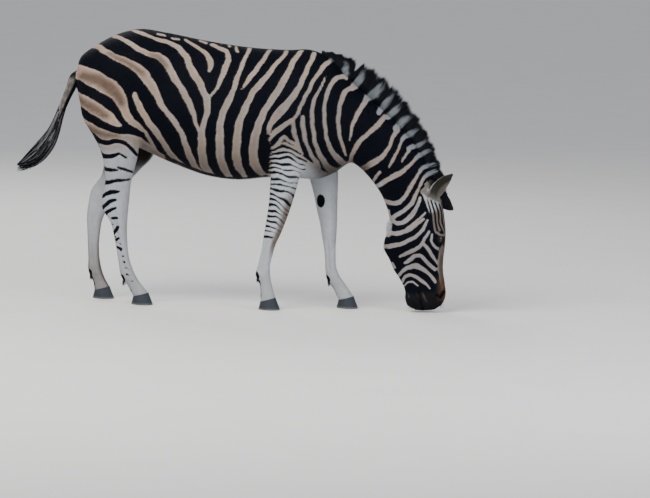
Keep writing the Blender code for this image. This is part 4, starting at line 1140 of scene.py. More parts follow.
def links_behind(place):
    """The chain of small marks down the back of the hind leg, as ovals joined by waves."""
    along, up = place.T
    chain = along + 42.2 + np.interp(up, [12, 22, 30, 46], [0.2, 3.2, 6.0, 9.5])
    row = (up + 0.25 * along) % 2.9 - 1.45
    links = 0.34 - np.hypot(chain / 2.4, row / 1.1) + 0.35 * np.sin(up * 1.7) * np.sin(along * 2.1)
    return np.where((np.abs(chain) < 3) & (up > 11) & (up < 45), links, NOWHERE)


def face_front(height):
    """The x of the face's front line at heights."""
    level, front = np.array([(s.top_z, s.top_x) for s in BODY[::-1] if s.top_z < 70]).T
    return np.interp(height, level, front)


def tone(name):
    """A colour of the coat's settings."""
    return np.array(getattr(bpy.context.scene.zebra_coat, name))


def darken(stripe, mark, where=True):
    """The stripe's distance with a dark mark, positive inside it, laid over some places."""
    return np.minimum(stripe, -np.where(where, mark, NOWHERE))


def paint(points, normals):
    """The markings at points: the stripe's distance, the share of brown shadow stripes and painted shade,
    and the two tones.

    The stripe is positive inside a pale place and negative inside a dark one,
    in centimetres, and zero on the edge between them.
    """
    plan = straighten(points)
    place = on_board(plan)
    drift = 0.15 * np.sin(place[:, ::-1] * [0.85, 0.77] + 1.6 * np.sin(place * [0.29, 0.37]))
    place = place + drift + 0.07 * np.sin(place[:, ::-1] * [2.3, 2.1] + place * 0.9)
    x, y, z = plan.T
    out = np.abs(y)
    nx, ny, nz = normals.T
    along, up = place.T
    body = x < 74

    crest = band_field(place, MANE_BANDS)
    stripe = np.maximum(band_field(place, PALE_BANDS), crest)
    hind = ground_field(place, PALE_GROUNDS["hind_leg"])
    fore = ground_field(place, PALE_GROUNDS["foreleg"])
    ground = np.maximum(hind, fore)
    stripe = np.where(body, np.maximum(stripe, ground), stripe)
    barred = (fore > -0.3) & body & (along > 20) & (along < 46)
    stripe = darken(stripe, foreleg_bars(place), barred)
    stripe = darken(stripe, band_field(place, DARK_BARS) + 0.3)
    stripe = darken(stripe, links_behind(place))

    # inner faces of the legs, the belly, and the line along the back
    inner = np.zeros(len(plan))
    regions = [(FORELEG_RIGHT, (x > 20) & (x < 60), 66.0), (HIND_LEG_RIGHT, x < -34, 80.0)]
    for rings, region, top in regions:
        share = ramp(leg_line(rings, z)[1] - out, 0.2, 2.0) * ramp(z, top + 6, top - 2)
        inner = np.where(region, share, inner)
    stripe = blend(stripe, np.maximum(stripe, 1.2), inner)
    under = ramp(nz, -0.6, -0.8) * ramp(out, 7, 4) * ramp(z, 55, 60) * (x < 60) * (x > -60)
    stripe = blend(stripe, 1.0, under)
    stripe = darken(stripe, (2.4 - out) * under, (under > 0.3) & (np.abs(x) < 32))
    stripe = darken(stripe, 1.5 - out, (nz > 0.2) & (z > 100) & (x < 50))

    # chestnuts on the inner faces of the forearms, and dark backs of the fetlocks
    for side, back in ((LEFT, 42.6), (RIGHT, 23.0)):
        spot = np.hypot((x - back) / 2.2, (z - 53.8) / 3.4)
        stripe = darken(stripe, (1 - spot) * 2.2, (spot < 2) & (inner > 0.3) & ((y > 0) == (side > 0)))
    for leg in LEGS.values():
        fetlock, heel = leg.rings[-2], leg.heel_x + 1.6
        spot = np.hypot((x - fetlock.back_x - 0.5) / 0.9, (z - fetlock.back_z + 1.0) / 1.2)
        start = (fetlock.back_x + 2.2, fetlock.back_z - 3.2)
        line = distance_to_line(plan[:, [0, 2]], start, (heel * 0.6 + start[0] * 0.4, 6.6))
        mark = np.maximum(2.2 - spot, 0.7 - line) + 0.1 * np.sin(z * 2.3 + x * 1.7)
        stripe = darken(stripe, mark, (y * leg.side > 0) & (z < 24))

    # the head: threads down the forehead, the bridge, the eye patch with a painted highlight on the upper
    # lid, the muzzle
    head = ramp(x, 74, 80) * ramp(z, 62, 56)
    deep = face_front(z) - x
    turn = np.arctan2(out, np.maximum(10.5 - deep, 0.5))
    threads = np.cos(turn * 2 * math.pi / 0.235 + 0.5 * np.sin(z * 0.4)) * 0.3 - 0.02
    forehead = head * ramp(z, 27, 31) * ramp(deep + 4.4 * ramp(z, 43, 38), 9.8, 8.2)
    stripe = blend(stripe, threads, forehead)
    bridge = head * ramp(z, 35, 28) * ramp(deep, 4.6 + 0.04 * (z - 15), 2.2)
    stripe = blend(stripe, 1.5, bridge)
    patch = 1 - norm((folded(plan) - EYE_CENTRE) / [3.4, 3.8, 4.1], axis=1)
    stripe = darken(stripe, patch * 3, patch > -0.3)
    # a pale crescent over the eye: a painted highlight on the upper lid
    lid = band_field(place, {"eyelid_highlight": PALE_BANDS["eyelid_highlight"]})
    stripe = np.maximum(stripe, np.where((head > 0.5) & (out > 5.4), lid, NOWHERE))
    muzzle = head * ramp(z - 0.12 * (x - 96), 11.5, 8.5)
    stripe = blend(stripe, -1.5, muzzle)

    # pale tones, with painted shade on the hind legs, the underside, under the chest and between the hind
    # legs
    pale = np.tile(tone("flank"), (len(plan), 1))
    warm = ramp(along, -10, -45) * ramp(up, 84, 94)
    pale = blend(pale, tone("rump"), warm)
    pale = blend(pale, tone("rump"), 0.55 * ramp(up, 100, 122) * (x < 60) * (1 - warm))
    core = ramp(stripe, 0.3, 1.4) * ramp(np.minimum(100 - x, z - 62), 0, 12)
    pale = pale * (1 - core[:, None] * [0.15, 0.19, 0.22])
    legs = body * np.maximum(ramp(z, 70, 58), ramp(ground, -1, 5) * ramp(z, 84, 70))
    shoulder = ramp(along, 26, 36) * ramp(along, 68, 60) * ramp(up, 118, 98)
    pale = blend(pale, tone("flank") * [0.76, 0.78, 0.82], shoulder)
    # painted shade: the hind legs' pale ground darker than the forelegs'
    pale = blend(pale, tone("legs") * np.where(x < 0, 0.80, 0.95)[:, None], legs)
    # painted shade on the downward-facing parts of the trunk
    painted_underside_shade = 0.36 * body * ramp(nz, -0.15, -0.8) * ramp(z, 60, 64) * (1 - legs)
    # painted shade under the chest, between the forelegs
    painted_chest_shade = 0.5 * ramp(x, 34, 44) * (x < 68) * ramp(nz, -0.1, -0.6) * ramp(z, 80, 70) * (z > 58)
    pale = pale * ((1 - painted_underside_shade) * (1 - painted_chest_shade))[:, None]
    pale = blend(pale, tone("crest"), ramp(crest, -0.6, 0.3) * ramp(x, 58, 66))
    pale = blend(pale, tone("flank") * [0.93, 1.0, 1.1], head)
    pale = blend(pale, tone("bridge"), np.maximum(bridge, 0.75 * forehead))
    ear_root = band_field(place, {"ear_root": PALE_BANDS["ear_root"]})
    pale = blend(pale, [0.36, 0.37, 0.385], ramp(ear_root, -0.3, 1.2) * head)
    tip = head * ramp(z, 20, 14) * ramp(deep, 6.5, 2)
    rusty = tone("bridge") * [0.84, 0.62, 0.54]
    pale = blend(pale, rusty, tip)
    # painted shade, near black, on the inward faces between the hind legs
    turned_in = ramp(ny * np.sign(y), 0.3, -0.5)
    groin_shade = ramp(leg_line(HIND_LEG_RIGHT, z)[1] - out, -1.0, 3.0) * ramp(z, 96, 88)
    groin_shade *= (x < -27) * (x > -76) * turned_in * ramp(z, 58, 72)
    pale = blend(pale, tone("shadow") * [0.13, 0.15, 0.16], groin_shade)

    # dark tones, with brown painted highlights on the muzzle's folds and painted shade in the nostrils and
    # the mouth's crease
    dark = np.tile(tone("black"), (len(plan), 1))
    dark = blend(dark, tone("muzzle"), muzzle)
    # brown painted highlights along the folds of the lips and the chin
    streaks = ramp(band_field(place, MUZZLE_HIGHLIGHTS) * (head > 0.5), -0.25, 0.3)
    dark = blend(dark, tone("bridge") * 0.85, 0.8 * muzzle * streaks)
    dark = blend(dark, rusty * 0.8, tip * ramp(z, 4.5, 9))
    # painted shade: the nostrils and the mouth's crease darkened inside their furrows
    flat = [1, 0.3, 1]
    for furrow in FURROWS:
        if furrow.name.startswith(("nostril", "mouth")):
            ends = np.multiply(furrow.start, flat), np.multiply(furrow.end, flat)
            near = ramp(distance_to_line(folded(plan) * flat, *ends) / furrow.half, 1.3, 0.5)
            dark = blend(dark, tone("black") * 0.3, near * (x > 88))

    # brown shadow stripes; painted shade behind the elbow, along the legs' front edges and along the far
    # hind leg's edges; dust on the lower legs
    shade = ramp(band_field(place, SHADOW_BANDS), -1.7, 1.5) * body
    # painted shade along the legs' front-facing edges, strongest on the near foreleg
    leg_front_shade = legs * ramp(nx, 0.0, 0.6) * ramp(z, 22, 34) * ramp(z, 66, 52)
    shade = np.maximum(shade, leg_front_shade * np.where((x > 0) & (y < 0), 0.95, 0.3))
    # a darker patch at the back of the far hind hock
    hock_patch = 1 - np.hypot((along + 59.0) / 3.0, (up - 56.5) / 6.5)
    # dust on the lower legs, kept off the painted shade between the hind legs
    dust_and_shade = (1 - groin_shade) * (0.22 * ramp(z, 34, 10) + 0.12)
    # the far hind leg darker towards the hoof
    dust_and_shade += (x < 0) * (y > 0) * 0.34 * ramp(z, 46, 12)
    dust_and_shade += (y > 0) * 0.75 * ramp(hock_patch + 0.3 * np.sin(z * 1.9 + x), -0.2, 0.5)
    # painted shade along the far hind leg's front and back edges
    dust_and_shade += (x < 0) * (y > 0) * 0.4 * ramp(np.abs(nx), 0.55, 0.9) * ramp(z, 50, 40)
    shade = np.maximum(shade, legs * dust_and_shade)

    paint_ears(plan, normals, stripe, pale, shade)
    clean = np.maximum(legs * 0.9, ramp(crest, -0.6, 0.3))
    return {"stripe": stripe, "shade": shade, "clean": clean, "pale": pale, "dark": dark}


def by_ear(ear, plan):
    """Points from an ear's root, how far along its axis they lie, and how far off it."""
    axis = ear_frame(ear)[0]
    spot = plan * [1, ear.side, 1] - ear.root
    along = spot @ axis
    return spot, along, norm(spot - np.outer(along, axis), axis=1)


def paint_ears(plan, normals, stripe, pale, shade):
    """Ears: pale at the root, black along the back, grey and hairy inside, pale at the rim."""
    for ear in EARS.values():
        _, facing, across = ear_frame(ear)
        spot, reach, far = by_ear(ear, plan)
        share, wide = reach / EAR_LENGTH, spot @ across
        same_side = plan[:, 1] * ear.side > 0
        on = (share > 0.1) & (share < 1.1) & (far < 7.5) & (spot[:, 1] + ear.root[1] > 3.4)
        on &= (np.hypot(spot @ facing, wide) < 6.5) & same_side
        base = ramp(norm(spot, axis=1), 7.5, 4.5) * same_side
        pale += ([0.33, 0.34, 0.355] - pale) * base[:, None]
        inner = ramp((normals * [1, ear.side, 1]) @ facing, 0.0, 0.25)
        band = np.clip(1.5 - 12 * ramp(share, 0.24, 0.40) * ramp(share, 1.0, 0.93), -1.5, 1.5)
        stripe[on] = blend(band, 1.5, inner)[on]
        hollow = np.tile([0.036, 0.035, 0.031], (len(plan), 1))
        hollow = blend(hollow, [0.17, 0.167, 0.155], ramp(np.abs(wide), 2.4, 3.9))
        hollow = blend(hollow, [0.12, 0.117, 0.11], ramp(share, 0.25, 0.1))
        grey = np.tile([0.42, 0.42, 0.425], (len(plan), 1))
        pale[on] = blend(grey, hollow, inner)[on]
        shade[on] = 0


# --- materials


def scaled(colour, *factors):
    """A colour times each factor, no brighter than white."""
    return [tuple(min(1, c * factor) for c in colour) for factor in factors]


def coat_finish():
    """Short hair: two tones parted by the stripe's edge, brown shadow stripes and painted shade, fine
    streaks.
    """
    finish = Finish("zebra_coat")
    grain = finish.noise((230, 1500, 1), 3.0, "OFBake")
    ragged = finish.noise((150, 900, 1), 2.0, "OFBake")
    patchy = finish.noise((34, 34, 34), 3.0)
    cloudy = finish.noise((9, 9, 9), 4.0)
    edge = finish.attribute("stripe") + (ragged - 0.5) * 0.42
    share = (edge * 3.2 + 0.5).clamped()
    shade = (finish.attribute("shade") * (0.55 + 0.75 * ragged) * (0.75 + 0.5 * patchy)).clamped()
    pale = finish.attribute("pale", "Color")
    warmer = finish.mix(1.0, pale, (0.92, 0.80, 0.68), "MULTIPLY")
    rich = (cloudy * 2.2 - 0.85 + patchy * 0.5 - finish.attribute("clean")).clamped()
    pale = finish.mix(rich * 0.7, pale, warmer)
    pale = finish.mix(shade, pale, bpy.context.scene.zebra_coat.shadow)
    colour = finish.mix(share, finish.attribute("dark", "Color"), pale)
    return finish.set(
        Base_Color=finish.toned(colour, 0.66 + grain * 0.42 + patchy * 0.26),
        Roughness=0.55 + grain * 0.2,
        Normal=finish.bump(grain, 0.45, 0.0016),
        Specular_IOR_Level=0.05,
    )


def hair_finish():
    """Coarse hair: two tones parted by the stripe, streaked along each lock."""
    finish = Finish("zebra_hair")
    streak = finish.noise((160, 160, 160), 2.0)
    share = (finish.attribute("stripe") * 2.4 + 0.5).clamped()
    colour = finish.mix(share, finish.attribute("dark", "Color"), finish.attribute("pale", "Color"))
    return finish.set(
        Base_Color=finish.toned(colour, 0.6 + streak * 0.8),
        Roughness=0.45 + streak * 0.15,
        Normal=finish.bump(streak, 0.3, 0.001),
        Specular_IOR_Level=0.14,
    )


def horn_finish():
    """Hoof horn: growth rings down from the coronet, fine upright lines, worn lower rim."""
    colour = tuple(bpy.context.scene.zebra_features.horn)
    finish = Finish("hoof_horn")
    rings = finish.noise((6, 6, 420), 2.0)
    lines = finish.noise((420, 420, 8), 2.0)
    cloud = finish.noise((40, 40, 40), 3.0)
    lift = finish.node("ShaderNodeSeparateXYZ", None, {0: finish.place((1, 1, 1))}, output="Z")
    worn = (1.0 - lift * 90.0).clamped()
    pale = tuple(min(1.0, c * 2.0 + 0.012) for c in colour)
    base = finish.mix((rings * 0.5 + lines * 0.35 + cloud * 0.4 - 0.32).clamped(), colour, pale)
    base = finish.mix((worn * (0.25 + cloud * 0.8)).clamped(), base, (0.20, 0.185, 0.165))
    bump = finish.bump(rings * 0.8 + lines * 0.4, 0.5, 0.0012)
    return finish.set(Base_Color=base, Roughness=0.5 + cloud * 0.25, Normal=bump, Specular_IOR_Level=0.25)


def lid_finish():
    """Bare lid skin: nearly black, finely wrinkled and a little moist."""
    finish = Finish("lid_skin")
    wrinkle = finish.noise((500, 500, 500), 3.0)
    base = finish.mix(wrinkle, *scaled(bpy.context.scene.zebra_features.lid, 1.0, 2.2))
    bump = finish.bump(wrinkle, 0.5, 0.0006)
    return finish.set(Base_Color=base, Roughness=0.6 + wrinkle * 0.2, Normal=bump, Specular_IOR_Level=0.12)


def eye_finish(name, centre, axes):
    """The eye: a wide pupil in a brown iris, darker outside it, under a wet clear coat.

    axes are the unit vectors along the lids' opening and across it. The pupil
    is an oval, and the iris a disc, of distances along them from the centre.
    """
    faint, bright, rim = scaled(bpy.context.scene.zebra_features.iris, 0.45, 1.6, 0.3)
    finish = Finish(name)
    offset = finish.vector("SUBTRACT", finish.place((1, 1, 1)), tuple(centre))
    along, across = (finish.vector("DOT_PRODUCT", offset, tuple(axis), "Value") for axis in axes)
    ray = finish.noise((700, 700, 700), 3.0)
    oval = (along * along * (1 / 0.0085**2) + across * across * (1 / 0.005**2)).root()
    disc = (along * along + across * across).root() * (1 / 0.0155)
    base = finish.mix(ray, faint, bright)
    base = finish.mix(((1.0 - oval) * 6.0 + 0.5).clamped(), base, (0.0015, 0.0015, 0.0025))
    base = finish.mix(((disc - 1.0) * 9.0 + 0.5).clamped(), base, rim)
    return finish.set(
        Base_Color=base, Roughness=0.22, Coat_Weight=0.55, Coat_Roughness=0.05, Specular_IOR_Level=0.25
    )


def floor_finish():
    """The plain pale floor, barely mottled."""
    finish = Finish("stage_floor")
    cloud = finish.noise((3, 3, 3), 4.0)
    base = finish.mix(cloud, *scaled(bpy.context.scene.zebra_stage.floor, 0.95, 1.04))
    return finish.set(Base_Color=base, Roughness=0.85)


FINISHES = {
    "zebra_coat": coat_finish,
    "zebra_hair": hair_finish,
    "hoof_horn": horn_finish,
    "lid_skin": lid_finish,
}


def dress(piece, finish, slot, *nodes):
    """Gives a piece its finish, its body and the solids that it replaces; the slot is not used."""
    piece.data.materials.clear()
    piece.data.materials.append(bpy.data.materials.get(finish) or FINISHES[finish]())
    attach(piece, "root")
    if nodes:
        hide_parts(*nodes)


# --- hair

LOCK_SIDES = 3
SIDEWAYS = [0.0, 1.0, 0.0]


def draws(number):
    """A piece's own random draws."""
    return np.random.default_rng(bpy.context.scene.zebra_hair.seed + number)


def blades(name, root, normal, flow, length, width, lift, uv, values):
    """Flat tufts of two faces: two points at the root, two half way, one at the tip.

    A tuft runs from its root along flow by its length, and rises from the skin
    by lift times about the square of the share of its length.
    """
    half = unit(np.cross(flow, normal)) * width[:, None] / 2
    run, rise = flow * length[:, None], normal * lift[:, None]
    middle = root + run * 0.5 + rise * 0.45
    base = root - normal * 0.04
    points = [base - half, base + half, middle - half * 0.8, middle + half * 0.8, root + run + rise]
    start = (np.arange(len(root)) * 5)[:, None]
    corners = [[0, 1, 3, 2], [2, 3, 4]]
    spots = uv[:, None] + 0.0015 * np.array([[-1, -1], [1, -1], [-0.8, 0], [0.8, 0], [0, 1]])
    layout = [spots[:, face] for face in corners]
    points = np.stack(points, axis=1).reshape(-1, 3)
    piece = new_object(name, points, [start + face for face in corners], layout)
    write_tones(piece.data, {key: np.repeat(value, 5, axis=0) for key, value in values.items()})
    return piece


def locks(name, paths, radii, side, uv, tones, *nodes):
    """Tapered locks: rings of a few points round each path, closed at a tip.

    paths holds each lock's middle line and radii the ring's radius at each of
    its points, the last of which is the tip. tones are the stripe's distance
    and the pale and the dark colour, for all or for each lock and point.
    """
    count, steps = paths.shape[:2]
    way = unit(np.gradient(paths, axis=1))
    side = np.broadcast_to(side, (count, 3))[:, None]
    across = unit(side - way * (side * way).sum(axis=2, keepdims=True))
    turn = np.arange(LOCK_SIDES)
    angle = circle(LOCK_SIDES)[:, None]
    ring = across[:, :-1, None] * np.cos(angle) + np.cross(way, across)[:, :-1, None] * np.sin(angle)
    rings = paths[:, :-1, None] + ring * radii[:, :-1, None, None]
    points = np.concatenate([rings.reshape(count, -1, 3), paths[:, -1:]], axis=1)
    per = points.shape[1]
    start = (np.arange(count) * per)[:, None]
    after = (turn + 1) % LOCK_SIDES
    last = (steps - 2) * LOCK_SIDES
    quads = [
        start + [low + k, low + after[k], low + LOCK_SIDES + after[k], low + LOCK_SIDES + k]
        for low in range(0, last, LOCK_SIDES)
        for k in turn
    ]
    tips = [start + [last + k, last + after[k], per - 1] for k in turn]
    faces = [np.concatenate(quads), np.concatenate(tips), start + turn[::-1]]
    index = np.append(np.repeat(np.arange(steps - 1), LOCK_SIDES), steps - 1)
    spin = np.append(np.tile(turn, steps - 1), 0)
    local = np.stack([spin / LOCK_SIDES, index / (steps - 1)], axis=1) - 0.5
    spots = (uv[:, None] + local * 0.003).reshape(-1, 2)
    piece = new_object(name, points.reshape(-1, 3), faces, [spots[f] for f in faces])
    stripe, *colours = tones
    values = {"stripe": np.broadcast_to(stripe, (count, steps))[:, index].ravel()}
    for key, colour in zip(("pale", "dark"), colours):
        values[key] = np.broadcast_to(colour, (count, steps, 3))[:, index].reshape(-1, 3)
    write_tones(piece.data, values)
    dress(piece, "zebra_hair", "dark_hair", *nodes)


def flow_at(plan):
    """The way the hair lies: back along the trunk, up the neck, down the face and the legs."""
    x, y, z = plan.T
    flow = np.tile([-1.0, 0.0, -0.38], (len(plan), 1))
    flow = blend(flow, [-0.80, -0.1, 0.35], ramp(x - 0.6 * z, -22, 30) * (x > 40))
    flow = blend(flow, [-0.05, 0.0, -1.0], ramp(x, 78, 92) * ramp(z, 60, 46))
    for ear in EARS.values():
        _, reach, far = by_ear(ear, plan)
        flow[(reach > 1.5) & (far < 7.5) & (y * ear.side > 0)] = ear_frame(ear)[0] * [1, ear.side, 1]
    return blend(flow, [-0.12, 0.0, -1.0], ramp(z, 78, 62) * (x < 72))


TONES = ("stripe", "shade", "clean", "pale", "dark")


def skin_data():
    """The skin's triangles, and its values at each point and corner."""
    mesh = bpy.data.objects["skin"].data
    mesh.calc_loop_triangles()
    data = {
        "corners": read(mesh.loop_triangles, "vertices", 3, np.int32),
        "loops": read(mesh.loop_triangles, "loops", 3, np.int32),
        "points": read(mesh.vertices, "co", 3) / CM,
        "normals": read(mesh.vertices, "normal", 3),
        "uv": read(mesh.uv_layers["OFBake"].uv, "vector", 2),
    }
    for key in TONES:
        width, kind = (4, "color") if key in ("pale", "dark") else (1, "value")
        data[key] = read(mesh.attributes[key].data, kind, width)
    return data


def scatter(data, rng, count, density):
    """Roots drawn over the skin's triangles, in proportion to area times density."""
    tri = data["points"][data["corners"]]
    area = norm(np.cross(tri[:, 1] - tri[:, 0], tri[:, 2] - tri[:, 0]), axis=1) / 2
    total = np.cumsum(area * density(tri.mean(axis=1)))
    chosen = np.searchsorted(total, rng.random(count) * total[-1])
    share = rng.random((count, 2))
    share = np.where(share.sum(axis=1, keepdims=True) > 1, 1 - share, share)
    share = np.concatenate([1 - share.sum(axis=1, keepdims=True), share], axis=1)

    def mean(key, index):
        picked = data[key][data[index][chosen]]
        return (picked * (share if picked.ndim == 2 else share[..., None])).sum(axis=1)

    root = {key: mean(key, "corners") for key in ("points", "normals", *TONES)}
    root["uv"] = mean("uv", "loops")
    root["normals"] = unit(root["normals"])
    return root


def coat_piece(name, seed, region):
    """One piece of the coat: short tufts over the part of the skin in region."""
    coat = bpy.context.scene.zebra_coat
    rng = draws(seed)

    def density(middle):
        """More on the head, and none on the bare skin round the eyes."""
        plan = straighten(middle)
        fine = 1 + 1.5 * ramp(plan[:, 2], 60, 40) * (plan[:, 0] > 72)
        return region(*plan.T) * fine * (norm(folded(plan) - EYE_CENTRE, axis=1) >= EYE_BARE)

    root = scatter(skin_data(), rng, coat.tufts, density)
    plan, normal = straighten(root["points"]), root["normals"]
    x, _, z = plan.T
    flow = flow_at(plan)
    flow += rng.normal(0, 0.11, flow.shape)
    flow = unit(flow - normal * (flow * normal).sum(axis=1, keepdims=True))
    small = ramp(z, 70, 42)
    size = 1 - 0.45 * small - 0.25 * small * (x > 74) * ramp(z, 30, 12)
    length = coat.tuft_length / CM * size * rng.uniform(0.75, 1.25, len(plan))
    width = coat.tuft_width / CM * (0.55 + 0.45 * size) * rng.uniform(0.8, 1.2, len(plan))
    length *= np.clip(0.42 + np.abs(root["stripe"]) * 0.75, 0.42, 1.0)
    lift = length * rng.uniform(0.06, 0.17, len(plan))
    values = {key: root[key] for key in TONES}
    piece = blades(name, root["points"], normal, flow, length, width, lift, root["uv"], values)
    dress(piece, "zebra_coat", "coat")


# --- operators


def joined_limbs(context, body, limbs):
    """The mesh of the body joined to the limbs, whose faces keep a material of their own."""
    for obj in (body, limbs):
        for name in ("inside", "outside"):
            obj.data.materials.append(bpy.data.materials.new(f"{obj.name}_{name}"))
    limbs.data.polygons.foreach_set("material_index", np.ones(len(limbs.data.polygons), np.int32))
    union = body.modifiers.new("union", "BOOLEAN")
    union.operation = "UNION"
    union.solver = "EXACT"
    union.object = limbs
    mesh = bpy.data.meshes.new_from_object(body.evaluated_get(context.evaluated_depsgraph_get()))
    mesh.name = "skin"
    for obj in (body, limbs):
        bpy.data.objects.remove(obj)
    return mesh


def smooth_seams(mesh, reach):
    """Rounds the meetings of legs and ears with the body, and leaves one material."""
    points = read(mesh.vertices, "co", 3) / CM
    sizes = read(mesh.polygons, "loop_total", 1, np.int32)
    limb = np.repeat(read(mesh.polygons, "material_index", 1, np.int32) == 1, sizes)
    corners = read(mesh.loops, "vertex_index", 1, np.int32)
    touched = np.zeros((2, len(points)), bool)
    touched[0, corners[~limb]] = True
    touched[1, corners[limb]] = True
    seam = touched.all(axis=0)
    edges = read(mesh.edges, "vertices", 2, np.int32)
    on_leg = points[:, 0] < 70
    blend_seam(points, edges, seam & on_leg, reach, rounds=46)
    blend_seam(points, edges, seam & ~on_leg, 1.1, rounds=20)
    mesh.vertices.foreach_set("co", (points * CM).ravel())
    mesh.polygons.foreach_set("material_index", np.zeros(len(mesh.polygons), np.int32))
    mesh.update()


class ZEBRA_OT_skin(bpy.types.Operator):
    """Builds the skin: trunk, neck, head, ears and legs in one surface, with its markings"""

    bl_idname = "zebra.skin"
    bl_label = "Skin"

    def execute(self, context):
        settings = context.scene.zebra_skin
        coat_depth, face_depth = settings.coat_depth / CM, settings.face_depth / CM
        grid = body_grid(coat_depth, face_depth)
        body = new_object("skin_body", *shell(grid, (0, 0, 1, 0.6), (1.4, 0.5), dome=6))
        halves = ((0, 0.49), (0.5, 1))
        boxes = [(left, low, right, low + 0.12) for low in (0.61, 0.74, 0.87) for left, right in halves]
        shells = [shell(leg_grid(leg, face_depth), box) for leg, box in zip(LEGS.values(), boxes)]
        shells += [ear_shell(ear_grid(ear), box) for ear, box in zip(EARS.values(), boxes[4:])]
        limbs = new_object("skin_limbs", *joined(shells))
        mesh = joined_limbs(context, body, limbs)
        piece = linked("skin", mesh)
        smooth_seams(mesh, settings.seam_reach / CM)
        mesh.shade_smooth()
        write_tones(mesh, paint(read(mesh.vertices, "co", 3) / CM, read(mesh.vertices, "normal", 3)))
        nodes = ["trunk", "neck", "head", "ear_right", "ear_left"]
        nodes += [f"{leg}_{part}" for leg in LEGS for part in ("upper", "cannon")]
        dress(piece, "zebra_coat", "coat", *nodes)
        return {"FINISHED"}


class ZEBRA_OT_coat(bpy.types.Operator):
    """Lays the coat's tufts over the hindquarters, the forequarters, the head and neck, and the legs"""

    bl_idname = "zebra.coat"
    bl_label = "Coat"

    def execute(self, context):
        coat_piece("coat_hind", 11, lambda x, y, z: (x < -18) * ramp(z, 62, 70))
        coat_piece("coat_fore", 12, lambda x, y, z: (x >= -18) * (x < 60) * ramp(z, 58, 66))
        coat_piece("coat_head", 13, lambda x, y, z: x >= 60)
        coat_piece("coat_legs", 14, lambda x, y, z: (x < 72) * ramp(z, 72, 60))
        return {"FINISHED"}


def hoof_grid(leg, levels=34, sides=72):
    """Ovals from the coronet to the sole, long and wide as straight lines of the height."""
    turn = circle(sides)[None]
    toe, side = np.cos(turn), np.sin(turn)
    share = np.linspace(0, 1, levels)[:, None]
    flare = np.minimum(share / 0.95, 1)
    tuck = 0.35 * ramp(share, 0.95, 1.0)
    (back_x, back_z), (front_x, front_z) = CORONET_BACK, CORONET_FRONT
    back = back_x * (1 - flare) + tuck
    front = front_x + (HOOF_LENGTH - front_x) * flare - tuck
    half = CORONET_HALF + (HOOF_HALF - CORONET_HALF) * flare - tuck
    ridge = 0.035 * np.sin(share * 60 + 1.4 * np.sin(share * 13)) * np.sin(math.pi * share) ** 0.5
    relief = ridge + 0.10 * np.exp(-((share / 0.06) ** 2)) - 0.04
    x = (front + back) / 2 + ((front - back) / 2 + relief) * toe
    wide = (half + relief) * side * (1 + 0.16 * toe * (1 - toe * 0.5) * flare)
    z = (back_z + (front_z - back_z) * (toe + 1) / 2) * (1 - share)
    return np.stack([leg.heel_x + x, (leg.rings[-1].off + wide) * leg.side, z], axis=-1)


class ZEBRA_OT_hooves(bpy.types.Operator):
    """Builds the four hooves, their walls ridged and flaring from the coronet to a flat sole"""

    bl_idname = "zebra.hooves"
    bl_label = "Hooves"

    def execute(self, context):
        for place, leg in LEGS.items():
            piece = new_object(f"hoof_{place}", *shell(hoof_grid(leg)))
            dress(piece, "hoof_horn", "hoof", f"{place}_hoof")
        return {"FINISHED"}


def eye_axes():
    """The eye's own axes: along the lids' opening, towards the brow, and outwards."""
    out = unit(np.array([0.36, 0.93, -0.04]))
    along = np.array([0.34, 0.0, 1.0])
    along = unit(along - out * (along @ out))
    return along, np.cross(out, along), out


def eye_placed(points, side):
    """Points round the eye's centre, a little sunk, on their side of the turned head."""
    return turn_head((points + EYE_CENTRE - eye_axes()[2] * EYE_SUNK) * [1, side, 1])


def eye_aimed(polar, azimuth, radius):
    """Points at angles from the eye's axis and round it, at a radius."""
    along, up, out = eye_axes()
    polar, azimuth = polar[..., None], azimuth[..., None]
    way = np.cos(polar) * out + np.sin(polar) * (np.cos(azimuth) * along + np.sin(azimuth) * up)
    return np.asarray(radius)[..., None] * way


def ball_grid(rings=28, sides=48):
    """A ball whose front swells into a cornea, by 0.04 exp(-(angle/0.5)^2)."""
    polar = np.linspace(0.03, math.pi - 0.03, rings)[:, None]
    turn = circle(sides)[None]
    return eye_aimed(polar, turn, EYE_RADIUS - 0.05 + 0.04 * np.exp(-((polar / 0.5) ** 2)))


def lid_rim(turn):
    """The lids' edge at angles round the opening, as a polar angle and an azimuth.

    It is 1.6 cos t along and b |sin t|^1.3 up, with b larger for the upper lid.
    """
    high = np.where(np.sin(turn) > 0, 1.02, 0.66)
    along = 1.6 * np.cos(turn)
    up = high * np.abs(np.sin(turn)) ** 1.3 * np.sign(np.sin(turn))
    return np.arcsin(np.hypot(along, up) / EYE_RADIUS), np.arctan2(up, along)


def lid_grid(sides=96):
    """Two lids: a thick edge on the ball, a crease, a swollen fold, and a skirt into the skin."""
    turn = circle(sides)
    edge, azimuth = lid_rim(turn)
    steps = [(0.10, -0.30), (0.0, -0.05), (-0.01, 0.05), (0.03, 0.12), (0.10, 0.14), (0.17, 0.11)]
    steps += [(0.21, 0.06), (0.26, 0.07), (0.33, 0.15), (0.44, 0.17), (0.56, 0.10), (0.70, -0.06)]
    steps += [(0.86, -0.30), (1.0, -0.6), (0.8, -0.9), (0.4, -0.9)]
    angle, lift = np.array(steps).T
    upper = 1 + 0.5 * np.maximum(np.sin(turn), 0)[:, None]
    return eye_aimed(edge[:, None] + angle, azimuth[:, None], EYE_RADIUS + lift * upper)


def closed_ring(grid):
    """Points, faces and map of a closed ring of closed profiles."""
    count, rows = grid.shape[:2]
    turn, row = cells(count, rows)
    faces = turn % count * rows + row % rows
    return outwards(grid.reshape(-1, 3), [faces], [np.stack([turn / count, row / rows], axis=-1)])


